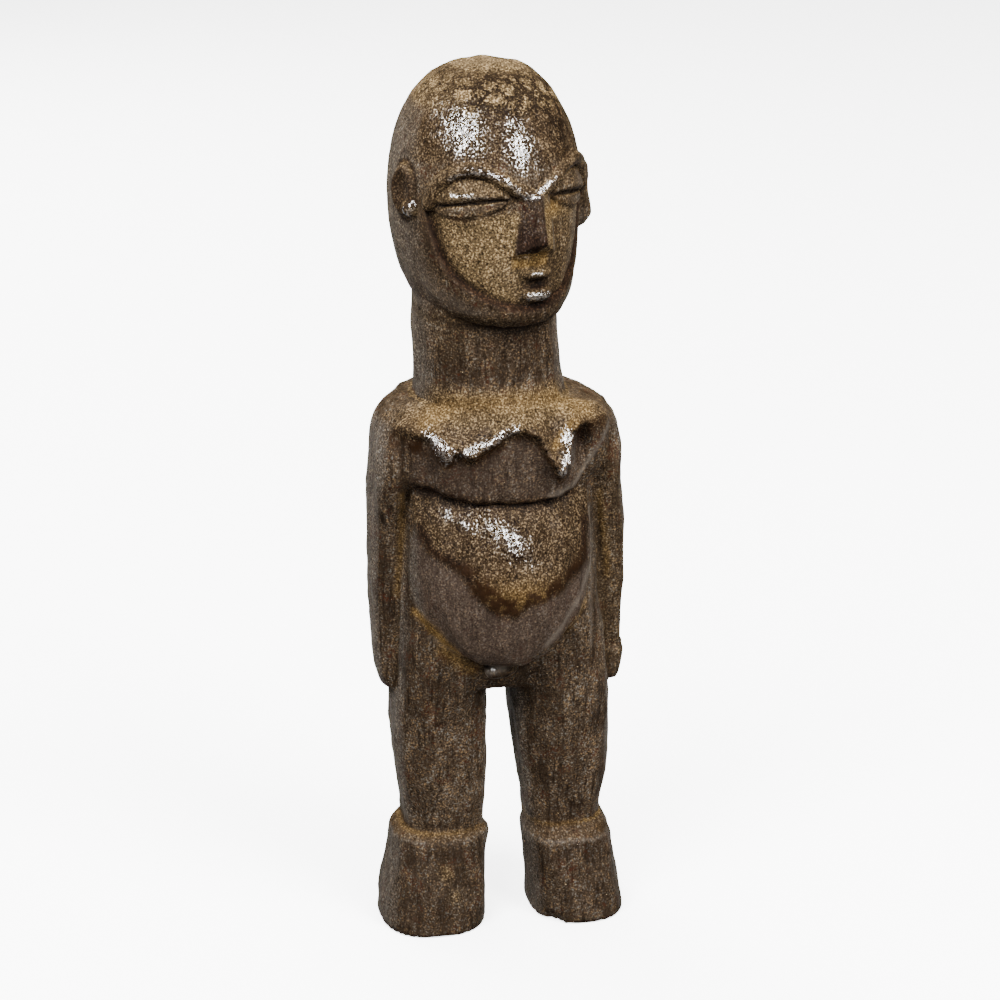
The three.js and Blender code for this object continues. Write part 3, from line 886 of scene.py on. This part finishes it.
# %% Painted highlights on ridges
# The lower left of the shelf, the left and the lower rim of the belly, and the side of the trunk.
HIGHLIT_RIDGE_LINES = (
    (1.0, 0.3, -4, [[11.8, 60.4], [10.2, 57.9], [9.0, 56.1], [7.2, 54.2], [4.6, 53.6]]),
    (0.9, 0.32, -5, [[9.8, 50.5], [9.9, 47], [9.9, 44.2], [8.6, 41.4], [6.2, 38.6], [4.0, 36.3]]),
    (0.5, 0.22, -5, [[-8.4, 36.9], [-6.0, 35.1], [-3.0, 34.0], [-0.4, 33.8], [2.2, 34.1], [4.8, 35.5]]),
    (0.5, 0.2, -4, [[10.2, 48], [10.0, 42], [9.9, 34]]),
)
# Painted highlights also lie on the rims of the feet, the top of the small lump and the jaw band.
foot_rims = line_at(z, 10.95, 0.11) * right_foot + line_at(z, 9.75, 0.11) * left_foot
on_lump = along(x, z, [[-2.4, 32.7], [-1.6, 33.2], [-0.6, 33.5]], 0.3) * (y < -7) * (y > -9.4)
on_jaw = line_at(into_face, -2.0, 0.6) * front_of_head * step(84, 82, z) * (z > 74.4)
keep("highlit_ridges", drawn(HIGHLIT_RIDGE_LINES) + 0.6 * foot_rims + 1.2 * on_lump + 0.3 * on_jaw)

# %% Cracks, stains, painted shade and smooth places
# The crust has cracked over the top of the forehead and down its left side.
crack_places = bump(across_face, z, [-0.5, 97.2], [5.5, 2.0])
crack_places += 0.6 * bump(across_face, z, [4.6, 94.0], [1.8, 3.0])
keep("cracked", 2.0 * crack_places * (out_of_face < 2))
# The lower border of the belly crust and a line in its tip are stained. The band just below the edge of the
# chest, the spot under the lump on the right shoulder and the one in the hollow by the left breast are
# painted shade.
stain_and_shade = band(into_crust, -0.5, 0.1, 0.8, 2.2) * step(48, 46, z) * well_in_front
stain_and_shade += drawn([(0.7, 1.0, -4, [[-2.6, 44.0], [-1.6, 42.6], [-0.4, 41.9]])])
stain_and_shade += 0.7 * band(z - edge_height, -2.2, -1.0, -0.3, 0.2) * front_of_body
stain_and_shade += (0.9 * bump(x, z, [-10.3, 58.9], [2.3, 0.9]) + 0.8 * bump(x, z, [8.1, 60.2], [0.8, 1.3])) * (y < -3)
keep("stained_and_shaded", stain_and_shade)
low_belly = step(0.2, 0.9, -into_crust) * step(0.3, 0.9, -outline_distance(x, z, SHIELD_LINE))
low_belly = low_belly * (y < -5) * step(50, 47, z)
chest_face = step(0.6, 1.6, edge_height - z) * step(0.2, 1.2, z - under_height)
chest_face = chest_face * band(x, -11, -10, 7.5, 9) * front_of_body
jaw = step(0.7, 1.4, -into_face) * (out_of_face < 0) * step(84, 81, z) * (z > 74.3)
keep("smooth", low_belly + 0.6 * chest_face + 0.5 * jaw)

# %% Polished places
# They are on the forehead and brow, the lips, the edge of the chest and the belly. A row of the
# spots is an amount, a place across the face and in height, and two half sizes.
RUBBED_SPOTS = (
    (0.75, [-6.2, 94.2], [1.7, 2.3]),
    (0.1, [-2.0, 93.4], [7.5, 3.6]),
    (1.6, [0.6, 76.15], [1.5, 0.55]),
    (0.9, [0.3, 78.85], [0.9, 0.3]),
    (0.5, [-0.9, 80.9], [1.0, 0.6]),
)
BROW_CREST = [[-8.0, 89.2], [-6.2, 90.1], [-4.8, 89.8], [-3.1, 89.1], [-1.4, 87.4], [-0.4, 87.1],
              [1.2, 87.9], [2.7, 88.8]]
LOBE_EDGE = [[-14.5, 85.3], [-14.3, 84.8], [-14.0, 84.7], [-13.7, 85.2], [-13.3, 85.9]]
CHEST_GLINTS = (
    (1.0, 0.75, -5, [[-8.6, 61.0], [-8.0, 60.2], [-7.2, 59.3], [-6.8, 58.7]]),
    (1.0, 0.38, -5, [[-5.2, 59.1], [-2.5, 60.2], [0.6, 61.9]]),
    (1.0, 0.75, -5, [[6.4, 60.0], [6.8, 59.0], [6.4, 57.8], [5.6, 56.6]]),
    (0.45, 0.6, -5, [[-6.8, 51.6], [-4.4, 50.0]]),
)
head_shine = sum(amount * bump(across_face, z, at, size) for amount, at, size in RUBBED_SPOTS)
head_shine += 0.8 * bump(across_face + 0.2 * (z - 92), z, [-0.7, 91.9], [1.35, 2.6]) + 0.07 * on_nose
head_shine += 0.95 * along(across_face, z, BROW_CREST, 0.3) + 0.9 * bump(angle, z, [-37, 87.4], [13, 0.3])
lobe_shine = along(0.18 * angle, z, LOBE_EDGE, 0.3) * (across_face < 0)
body_shine = drawn(CHEST_GLINTS) + 0.8 * bump(x + 0.8 * (z - 48.8), z, [-0.4, 48.6], [2.0, 2.6])
body_shine += 0.25 * along(x, z, [[-2.2, 32.9], [-0.9, 33.4]], 0.4) * (y > -9.4)
keep("polish", head_shine * front_of_head + lobe_shine + body_shine * front_of_body)

# %% The layers go on the mesh
# The ankle ledges get less dust, as painted shade on their lit tops.
layers["up"] = normal[:, 2] * (1 - 0.6 * ledges) * (1 - 0.7 * on_head * (1 - on_scalp))
layers["side"] = np.abs(normal[:, 0])
# The knife cuts shallower on the head, and not at all on the soles.
layers["knife"] = (1 - 0.45 * step(71, 75, z)) * step(0.2, 2.0, z)
# The crust has a little thickness of its own.
corners = corners + normal * (0.13 * on_belly + 0.08 * on_chest)[:, None]
corners[:, 2] = np.maximum(corners[:, 2], 0)
mesh.vertices.foreach_set("co", ((corners - MIDDLE) * PERCENT).ravel())
for name, values in layers.items():
    mesh.attributes.new(name, "FLOAT", "POINT").data.foreach_set("value", values.astype(np.float32))
mesh.update()
figure = bpy.data.objects.new("carved_figure", mesh)
bpy.context.scene.collection.objects.link(figure)
print(len(layers), "layers on", len(mesh.vertices), "corners")

# %% [markdown]
# ## Knife marks
#
# The knife leaves long, shallow scoops that run up and down the wood and meet in faint ridges. They
# could be sculpted one by one, or faked with a bump. A small tree of Geometry Nodes is better here:
# it really moves the skin, so the marks show in the outline too. A Voronoi pattern, stretched along
# the wood, gives the scoops. The seed is fixed, so the marks stay where they are.

# %% Two helpers for nodes
MARK_SIZES = {"Scoop width": 0.0042, "Scoop length": 0.014, "Scoop depth": 0.0013, "Seed": 3.0}


def feed(tree, socket, value):
    """Sets a socket to a number or a colour, or links it to a node."""
    if isinstance(value, (int, float)):
        socket.default_value = value
    elif isinstance(value, tuple):
        socket.default_value = (*value, 1)
    else:
        tree.links.new(value, socket)


def arithmetic(tree, operation, a, b, clamp=False):
    n = tree.nodes.new("ShaderNodeMath")
    n.operation = operation
    n.use_clamp = clamp
    feed(tree, n.inputs[0], a)
    feed(tree, n.inputs[1], b)
    return n.outputs[0]


print("scoops of", *(1000 * MARK_SIZES[name] for name in ("Scoop width", "Scoop length")), "mm")

# %% The tree of knife marks


def marks_tree():
    tree = bpy.data.node_groups.new("knife marks", "GeometryNodeTree")
    face = tree.interface
    face.new_socket("Geometry", in_out="INPUT", socket_type="NodeSocketGeometry")
    inputs = {}
    for name, value in MARK_SIZES.items():
        socket = face.new_socket(name, in_out="INPUT", socket_type="NodeSocketFloat")
        socket.default_value = value
        inputs[name] = socket.identifier
    socket = face.new_socket("Material", in_out="INPUT", socket_type="NodeSocketMaterial")
    inputs["Material"] = socket.identifier
    face.new_socket("Geometry", in_out="OUTPUT", socket_type="NodeSocketGeometry")
    node, link = tree.nodes.new, tree.links.new
    given, out = node("NodeGroupInput"), node("NodeGroupOutput")
    place = node("GeometryNodeInputPosition")
    size = node("ShaderNodeCombineXYZ")
    for axis, name in zip("XYZ", ("Scoop width", "Scoop width", "Scoop length")):
        link(given.outputs[name], size.inputs[axis])
    divided = node("ShaderNodeVectorMath")
    divided.operation = "DIVIDE"
    link(place.outputs[0], divided.inputs[0])
    link(size.outputs[0], divided.inputs[1])
    cells = node("ShaderNodeTexVoronoi")
    cells.voronoi_dimensions = "4D"
    cells.feature = "SMOOTH_F1"
    cells.inputs["Scale"].default_value = 1.0
    cells.inputs["Smoothness"].default_value = 0.15
    link(divided.outputs[0], cells.inputs["Vector"])
    link(given.outputs["Seed"], cells.inputs["W"])
    # The square of the distance is a round hollow. Its middle value is taken off, so the size stays.
    hollow = arithmetic(tree, "MULTIPLY", cells.outputs["Distance"], cells.outputs["Distance"])
    strength = node("GeometryNodeInputNamedAttribute")
    strength.inputs["Name"].default_value = "knife"
    depth = arithmetic(tree, "MULTIPLY", given.outputs["Scoop depth"], strength.outputs["Attribute"])
    rise = arithmetic(tree, "MULTIPLY", arithmetic(tree, "SUBTRACT", hollow, 0.35), depth)
    offset = node("ShaderNodeVectorMath")
    offset.operation = "SCALE"
    link(node("GeometryNodeInputNormal").outputs[0], offset.inputs[0])
    link(rise, offset.inputs["Scale"])
    moved = node("GeometryNodeSetPosition")
    link(given.outputs["Geometry"], moved.inputs["Geometry"])
    link(offset.outputs[0], moved.inputs["Offset"])
    real = node("GeometryNodeRealizeInstances")
    link(moved.outputs[0], real.inputs[0])
    finish = node("GeometryNodeSetMaterial")
    link(real.outputs[0], finish.inputs["Geometry"])
    link(given.outputs["Material"], finish.inputs["Material"])
    link(finish.outputs[0], out.inputs[0])
    print("tree of", len(tree.nodes), "nodes")
    return tree, inputs


tree, inputs = marks_tree()

# %% [markdown]
# ## Patina
#
# Under everything is dark hardwood, and over it a skin of smoke, oil, dust and offerings. From near
# by it is made of grains less than a millimetre across, some dark and some light. A picture would
# give them only from one side, so they are made of noise. Every finish below is the same noise with
# three colours of its own: wood, a painted sheen on the sides, smooth places, crust, dust, ochre, and
# dark places with painted shade. The layers on the mesh say where each one lies.

# %% Helpers for the patina
patina = bpy.data.materials.new("patina")
patina.use_nodes = True
paint = patina.node_tree
shader = paint.nodes["Principled BSDF"]


def times(a, b):
    return arithmetic(paint, "MULTIPLY", a, b)


def plus(a, b, clamp=False):
    return arithmetic(paint, "ADD", a, b, clamp)


def minus(a, b):
    return arithmetic(paint, "SUBTRACT", a, b)


def blend(amount, under, over):
    n = paint.nodes.new("ShaderNodeMix")
    n.data_type = "RGBA"
    for place, value in zip((0, 6, 7), (amount, under, over)):
        feed(paint, n.inputs[place], value)
    return n.outputs[2]


def ramp(value, low, high, start=0.0, end=1.0):
    n = paint.nodes.new("ShaderNodeMapRange")
    n.interpolation_type = "SMOOTHSTEP"
    for socket, number in zip(n.inputs[:5], (value, low, high, start, end)):
        feed(paint, socket, number)
    return n.outputs[0]


def measured(name):
    n = paint.nodes.new("ShaderNodeAttribute")
    n.attribute_name = name
    return n.outputs["Fac"]


layer = {name: measured(name) for name in layers if name != "knife"}
print("the patina reads", ", ".join(layer))

# %% Patterns
coordinates = paint.nodes.new("ShaderNodeTexCoord").outputs["Object"]


def stretched(x_size, y_size, z_size):
    """Coordinates in which one unit is that many metres each way."""
    n = paint.nodes.new("ShaderNodeMapping")
    n.vector_type = "POINT"
    paint.links.new(coordinates, n.inputs[0])
    n.inputs["Scale"].default_value = (1 / x_size, 1 / y_size, 1 / z_size)
    return n.outputs[0]


def noise(size, detail=4.0, rough=0.55, vector=None, distort=0.0):
    n = paint.nodes.new("ShaderNodeTexNoise")
    settings = {"Scale": 1.0, "Detail": detail, "Roughness": rough, "Distortion": distort}
    for name, value in settings.items():
        n.inputs[name].default_value = value
    paint.links.new(vector or stretched(size, size, size), n.inputs["Vector"])
    return n.outputs["Fac"]


mottle = noise(0.011, 6, 0.6)
fine_mottle = noise(0.0032, 5, 0.65)
speckle = noise(0.0005, 2, 0.5)
grain = noise(0.002, 5, 0.6, stretched(0.0011, 0.0011, 0.014), 0.4)
streaks = noise(0.005, 3, 0.5, stretched(0.0038, 0.0038, 0.035), 0.3)
grainy = plus(times(speckle, 0.75), times(fine_mottle, 0.25))


def grains(dark, middle, light):
    """A colour broken into dark and light grains."""
    return blend(ramp(grainy, 0.5, 0.66), blend(ramp(grainy, 0.34, 0.5), dark, middle), light)


print(len(paint.nodes), "nodes so far")

# %% Dark wood, its grain and a painted sheen on its sides
flecks = blend(ramp(noise(0.0009, 2, 0.5), 0.42, 0.58), (0.110, 0.069, 0.034), (0.082, 0.077, 0.066))
color = grains((0.0065, 0.0038, 0.0018), (0.0300, 0.0206, 0.0130), flecks)
color = blend(ramp(mottle, 0.52, 0.38, 0, 0.4), color, (0.010, 0.0055, 0.0030))
color = blend(ramp(streaks, 0.52, 0.36, 0, 0.6), color, (0.009, 0.0052, 0.0028))
color = blend(ramp(grain, 0.5, 0.66, 0, 0.75), color, (0.007, 0.0040, 0.0022))
red = times(ramp(noise(0.006, 5, 0.7), 0.54, 0.64), ramp(speckle, 0.52, 0.42))
color = blend(times(red, 0.45), color, (0.040, 0.010, 0.004))
smooth_wood = grains((0.0165, 0.0110, 0.0082), (0.0290, 0.0203, 0.0155), (0.052, 0.038, 0.029))
color = blend(times(layer["smooth"], 0.7), color, smooth_wood)
# Painted reflection: a grey sheen on the surfaces that face to the sides.
painted_sheen_wood = grains((0.020, 0.017, 0.014), (0.060, 0.053, 0.045), (0.150, 0.135, 0.115))
color = blend(ramp(layer["side"], 0.75, 0.99, 0, 0.45), color, painted_sheen_wood)
print(len(paint.nodes), "nodes with the wood")

# %% Crust, dust and painted shade in hollows
crust_color = grains((0.0025, 0.0012, 0.0005), (0.0190, 0.0118, 0.0060), (0.110, 0.076, 0.042))
color = blend(times(layer["crust"], 0.9), color, crust_color)
# Dust settles in places that are somewhat closed in, but not in the deepest, and where the wood looks up.
shelter = times(ramp(layer["recess"], 0.12, 0.35), ramp(layer["recess"], 0.75, 0.5))
looks_up = ramp(layer["up"], 0.2, 0.9)
# The dust layer also holds a painted highlight on the right ear lobe.
dust_and_highlight = plus(times(shelter, plus(looks_up, 0.1)), times(looks_up, 0.15))
dust_and_highlight = plus(dust_and_highlight, layer["dusty_and_highlit"], True)
dust_and_highlight_color = grains((0.006, 0.0036, 0.0014), (0.050, 0.0335, 0.0160), (0.235, 0.160, 0.080))
color = blend(dust_and_highlight, color, dust_and_highlight_color)
# Painted shade: the more closed in a place is, the darker it is painted, and the deepest places without dust
# are nearly black.
color = blend(ramp(layer["recess"], 0.08, 0.45, 0, 0.45), color, (0.008, 0.0045, 0.0020))
deep = times(ramp(layer["recess"], 0.4, 0.75, 0, 0.92), minus(1.0, layer["dusty_and_highlit"]))
color = blend(deep, color, (0.004, 0.0024, 0.0016))
print(len(paint.nodes), "nodes with crust and dust")

# %% Dark places and painted shade, painted highlights, ochre, and stains with painted shade
dark_and_shade_color = grains((0.003, 0.0015, 0.0009), (0.0062, 0.0030, 0.0018), (0.021, 0.0095, 0.0050))
# The dark colour is partly the wood's own and partly painted shade.
color = blend(times(layer["dark"], 0.93), color, dark_and_shade_color)
color = blend(ramp(layer["edge"], 0.35, 0.8, 0, 0.14), color, (0.060, 0.040, 0.025))
ochre_color = grains((0.030, 0.0165, 0.0050), (0.085, 0.050, 0.0160), (0.240, 0.150, 0.055))
color = blend(times(layer["ochre"], 0.8), color, ochre_color)
# Light grey painted along ridges as highlights.
color = blend(times(layer["highlit_ridges"], 0.5), color, (0.095, 0.080, 0.064))
# Stains, and painted shade below the chest edge, under the right shoulder lump and by the left breast.
color = blend(times(layer["stained_and_shaded"], ramp(fine_mottle, 0.42, 0.54)), color, (0.011, 0.0050, 0.0020))
print(len(paint.nodes), "nodes with the stains")

# %% Cracks, painted shade low down, and pale specks with painted glints
# The cracks part the crust into plates. Noise bends the edges of a Voronoi pattern, so they wander.
plates = paint.nodes.new("ShaderNodeTexVoronoi")
plates.feature = "DISTANCE_TO_EDGE"
plates.inputs["Scale"].default_value = 1.0
wobble = paint.nodes.new("ShaderNodeTexNoise")
paint.links.new(stretched(0.004, 0.004, 0.004), wobble.inputs["Vector"])
bent = paint.nodes.new("ShaderNodeVectorMath")
bent.operation = "MULTIPLY_ADD"
bent.inputs[1].default_value = (0.8, 0.8, 0.8)
paint.links.new(wobble.outputs["Color"], bent.inputs[0])
paint.links.new(stretched(0.0050, 0.0050, 0.0050), bent.inputs[2])
paint.links.new(bent.outputs[0], plates.inputs["Vector"])
crack = times(ramp(plates.outputs["Distance"], 0.14, 0.04), layer["cracked"])
color = blend(times(crack, 0.92), color, (0.005, 0.0028, 0.0016))
# Painted shade: the wood is painted darker towards the floor.
height_for_painted_shade = paint.nodes.new("ShaderNodeSeparateXYZ")
paint.links.new(coordinates, height_for_painted_shade.inputs[0])
color = blend(ramp(height_for_painted_shade.outputs[2], 0.034, 0.018, 0, 0.3), color, (0.006, 0.0036, 0.0020))
# Pale specks, which also serve as small painted glints.
speck_and_glint = ramp(noise(0.0007, 2, 0.5), 0.74, 0.78, 0, 0.7)
color = blend(speck_and_glint, color, (0.30, 0.22, 0.13))
paint.links.new(color, shader.inputs["Base Color"])
print(len(paint.nodes), "nodes in the colour")

# %% [markdown]
# ## Gloss and relief
#
# The bare skin is dull, and only what hands have rubbed shines, as small wet-looking spots with
# sharp edges. An even gloss would lay a grey haze over the dark wood. So the plain reflection is
# turned down and a coat is laid only on spots: the more polish a place has, the closer they lie.
# The pebbles of the crust and the open grain are a fraction of a millimetre deep, so a bump is
# enough for them.

# %% Gloss
rough = minus(ramp(mottle, 0.3, 0.7, 0.42, 0.56), times(layer["crust"], 0.12))
rough = plus(rough, times(arithmetic(paint, "MAXIMUM", dust_and_highlight, layer["dark"]), 0.3), True)
paint.links.new(rough, shader.inputs["Roughness"])
shader.inputs["Specular IOR Level"].default_value = 0.01
spots = plus(grainy, times(layer["polish"], 0.2))
gloss = times(ramp(spots, 0.61, 0.65), ramp(layer["polish"], 0.02, 0.35))
gloss = plus(gloss, times(layer["highlit_ridges"], 0.02), True)
paint.links.new(gloss, shader.inputs["Coat Weight"])
shader.inputs["Coat Roughness"].default_value = 0.1
shader.inputs["Coat IOR"].default_value = 1.8
print("coat on", round(100 * float((layers["polish"] > 0.02).mean()), 1), "% of the corners")

# %% Relief
# The heights are in metres.
pebble = paint.nodes.new("ShaderNodeTexVoronoi")
pebble.inputs["Scale"].default_value = 1.0
paint.links.new(stretched(0.0016, 0.0016, 0.0016), pebble.inputs["Vector"])
pebbles = times(minus(0.8, pebble.outputs["Distance"]), plus(layer["crust"], layer["polish"]))
heights = plus(times(pebbles, 0.00016), times(fine_mottle, 0.00022))
heights = minus(heights, times(crack, 0.0003))
heights = plus(heights, times(speckle, 0.00007))
heights = minus(heights, times(ramp(grain, 0.5, 0.75), 0.0002))
relief = paint.nodes.new("ShaderNodeBump")
relief.inputs["Distance"].default_value = 1.0
relief.inputs["Strength"].default_value = 1.0
paint.links.new(heights, relief.inputs["Height"])
paint.links.new(relief.outputs[0], shader.inputs["Normal"])
paint.links.new(relief.outputs[0], shader.inputs["Coat Normal"])
print(len(paint.nodes), "nodes in the patina")

# %% Put the marks and the patina on
marks = figure.modifiers.new("knife marks", "NODES")
marks.node_group = tree
for name, value in {**MARK_SIZES, "Material": patina}.items():
    marks[inputs[name]] = value
depsgraph = bpy.context.evaluated_depsgraph_get()
marked = bpy.data.meshes.new_from_object(figure.evaluated_get(depsgraph), depsgraph=depsgraph)
figure.modifiers.clear()
figure.data = marked
# The soles stay flat on the floor.
flat = np.empty(len(marked.vertices) * 3)
marked.vertices.foreach_get("co", flat)
flat[2::3] = np.maximum(flat[2::3], 0)
marked.vertices.foreach_set("co", flat)
marked.shade_smooth()
marked.update()
print("marked mesh", len(marked.polygons), "triangles", [m.name for m in marked.materials])
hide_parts("figure")
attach(figure, "root")

# %% [markdown]
# ## Studio
#
# The photograph was taken from a little above, with a long lens, on a white ground. Two soft boxes
# and a ceiling light the wood evenly. Two tall strips are seen only as reflections, and give the
# two streaks on the forehead and the glints on the chest. Lamps that did both jobs would be harder
# to place, because a dark, half-glossy thing shows the lamp itself as well as its light.

# %% Floor
FLOOR_REACH = 30.0
floor_mesh = bpy.data.meshes.new("floor")
floor_corners = [(a * FLOOR_REACH, b * FLOOR_REACH, 0) for a, b in ((-1, -1), (1, -1), (1, 1), (-1, 1))]
floor_mesh.from_pydata(floor_corners, [], [(0, 1, 2, 3)])
floor = bpy.data.objects.new("floor", floor_mesh)
bpy.context.scene.collection.objects.link(floor)
paper = bpy.data.materials.new("white paper")
paper.use_nodes = True
sheet = paper.node_tree
surface = sheet.nodes["Principled BSDF"]
# The paper is white to the camera and grey to the figure, so that it doesn't light it from below.
ray = sheet.nodes.new("ShaderNodeLightPath")
tone = sheet.nodes.new("ShaderNodeMix")
tone.data_type = "RGBA"
for place, value in ((0, ray.outputs["Is Camera Ray"]), (6, (0.1, 0.1, 0.1)), (7, (0.97, 0.97, 0.97))):
    feed(sheet, tone.inputs[place], value)
sheet.links.new(tone.outputs[2], surface.inputs["Base Color"])
glow = arithmetic(sheet, "MULTIPLY", ray.outputs["Is Camera Ray"], 3.0)
sheet.links.new(glow, surface.inputs["Emission Strength"])
surface.inputs["Emission Color"].default_value = (1, 1, 1, 1)
surface.inputs["Roughness"].default_value = 0.9
floor_mesh.materials.append(paper)
floor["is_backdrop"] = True
print("floor of", 2 * FLOOR_REACH, "m each way")

# %% Room and lamps


def area_light(name, at, size, power, aim=(0, 0, 0.13)):
    lamp = bpy.data.lights.new(name, "AREA")
    lamp.shape = "RECTANGLE"
    lamp.size, lamp.size_y = size
    lamp.energy = power
    thing = bpy.data.objects.new(name, lamp)
    thing.location = at
    thing.rotation_euler = (Vector(aim) - Vector(at)).to_track_quat("-Z", "Y").to_euler()
    bpy.context.scene.collection.objects.link(thing)
    return thing


world = bpy.data.worlds.new("studio")
bpy.context.scene.world = world
world.use_nodes = True
room = world.node_tree
# The room is white to the camera, dim to the figure and dark in its reflections.
rays = room.nodes.new("ShaderNodeLightPath")
seen = room.nodes.new("ShaderNodeMapRange")
seen.inputs[3].default_value, seen.inputs[4].default_value = 0.4, 1.1
room.links.new(rays.outputs["Is Camera Ray"], seen.inputs[0])
bright = arithmetic(room, "SUBTRACT", seen.outputs[0], rays.outputs["Is Glossy Ray"], True)
room.links.new(bright, room.nodes["Background"].inputs[1])
room.nodes["Background"].inputs[0].default_value = (1, 1, 1, 1)
area_light("ceiling", (0, 0.25, 1.5), (1.8, 1.8), 75, (0, 0.25, 0)).visible_glossy = False
for name, place, size, power in (
    ("left box", (-0.62, -0.72, 1.25), (0.7, 0.7), 63),
    ("right box", (0.60, -0.78, 1.15), (0.6, 0.7), 62),
    ("back box", (-0.5, 1.1, 0.8), (0.9, 0.9), 34),
):
    area_light(name, place, size, power).visible_glossy = False
STRIP = (0.3, 1.1)
for name, place, power in (
    ("left strip", (-0.74, -0.67, 0.85), 170),
    ("right strip", (0.52, -0.86, 0.78), 150),
):
    area_light(name, place, STRIP, power).visible_diffuse = False
print(len(bpy.data.lights), "lamps")

# %% Camera
# It stands three heights in front and half a height above the head. All is in percent of the height.
YAW = math.radians(11)
DISTANCE, CAMERA_HEIGHT, AIM_HEIGHT, TO_THE_SIDE = 300, 152.9, 50.2, 0.65
LENS, SENSOR = 101.4, 36
camera = bpy.data.objects.new("camera", bpy.data.cameras.new("camera"))
bpy.context.scene.collection.objects.link(camera)
bpy.context.scene.camera = camera
aside = np.array([math.cos(YAW), -math.sin(YAW), 0]) * TO_THE_SIDE
stand = np.array([-math.sin(YAW) * DISTANCE, -math.cos(YAW) * DISTANCE, CAMERA_HEIGHT])
camera.location = (stand + aside - MIDDLE) * PERCENT
target = Vector((np.array([0, 0, AIM_HEIGHT]) + aside - MIDDLE) * PERCENT)
camera.rotation_euler = (target - camera.location).to_track_quat("-Z", "Y").to_euler()
camera.data.sensor_width = SENSOR
camera.data.lens = LENS
camera.data.clip_end = 20
print("camera", round((target - camera.location).length, 3), "m from what it looks at")

# %% Measure and finish
corners_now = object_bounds()
size_now = [[float(v) for v in corner] for corner in corners_now]
print("finished box", [round(1000 * v, 1) for corner in size_now for v in corner], "mm")
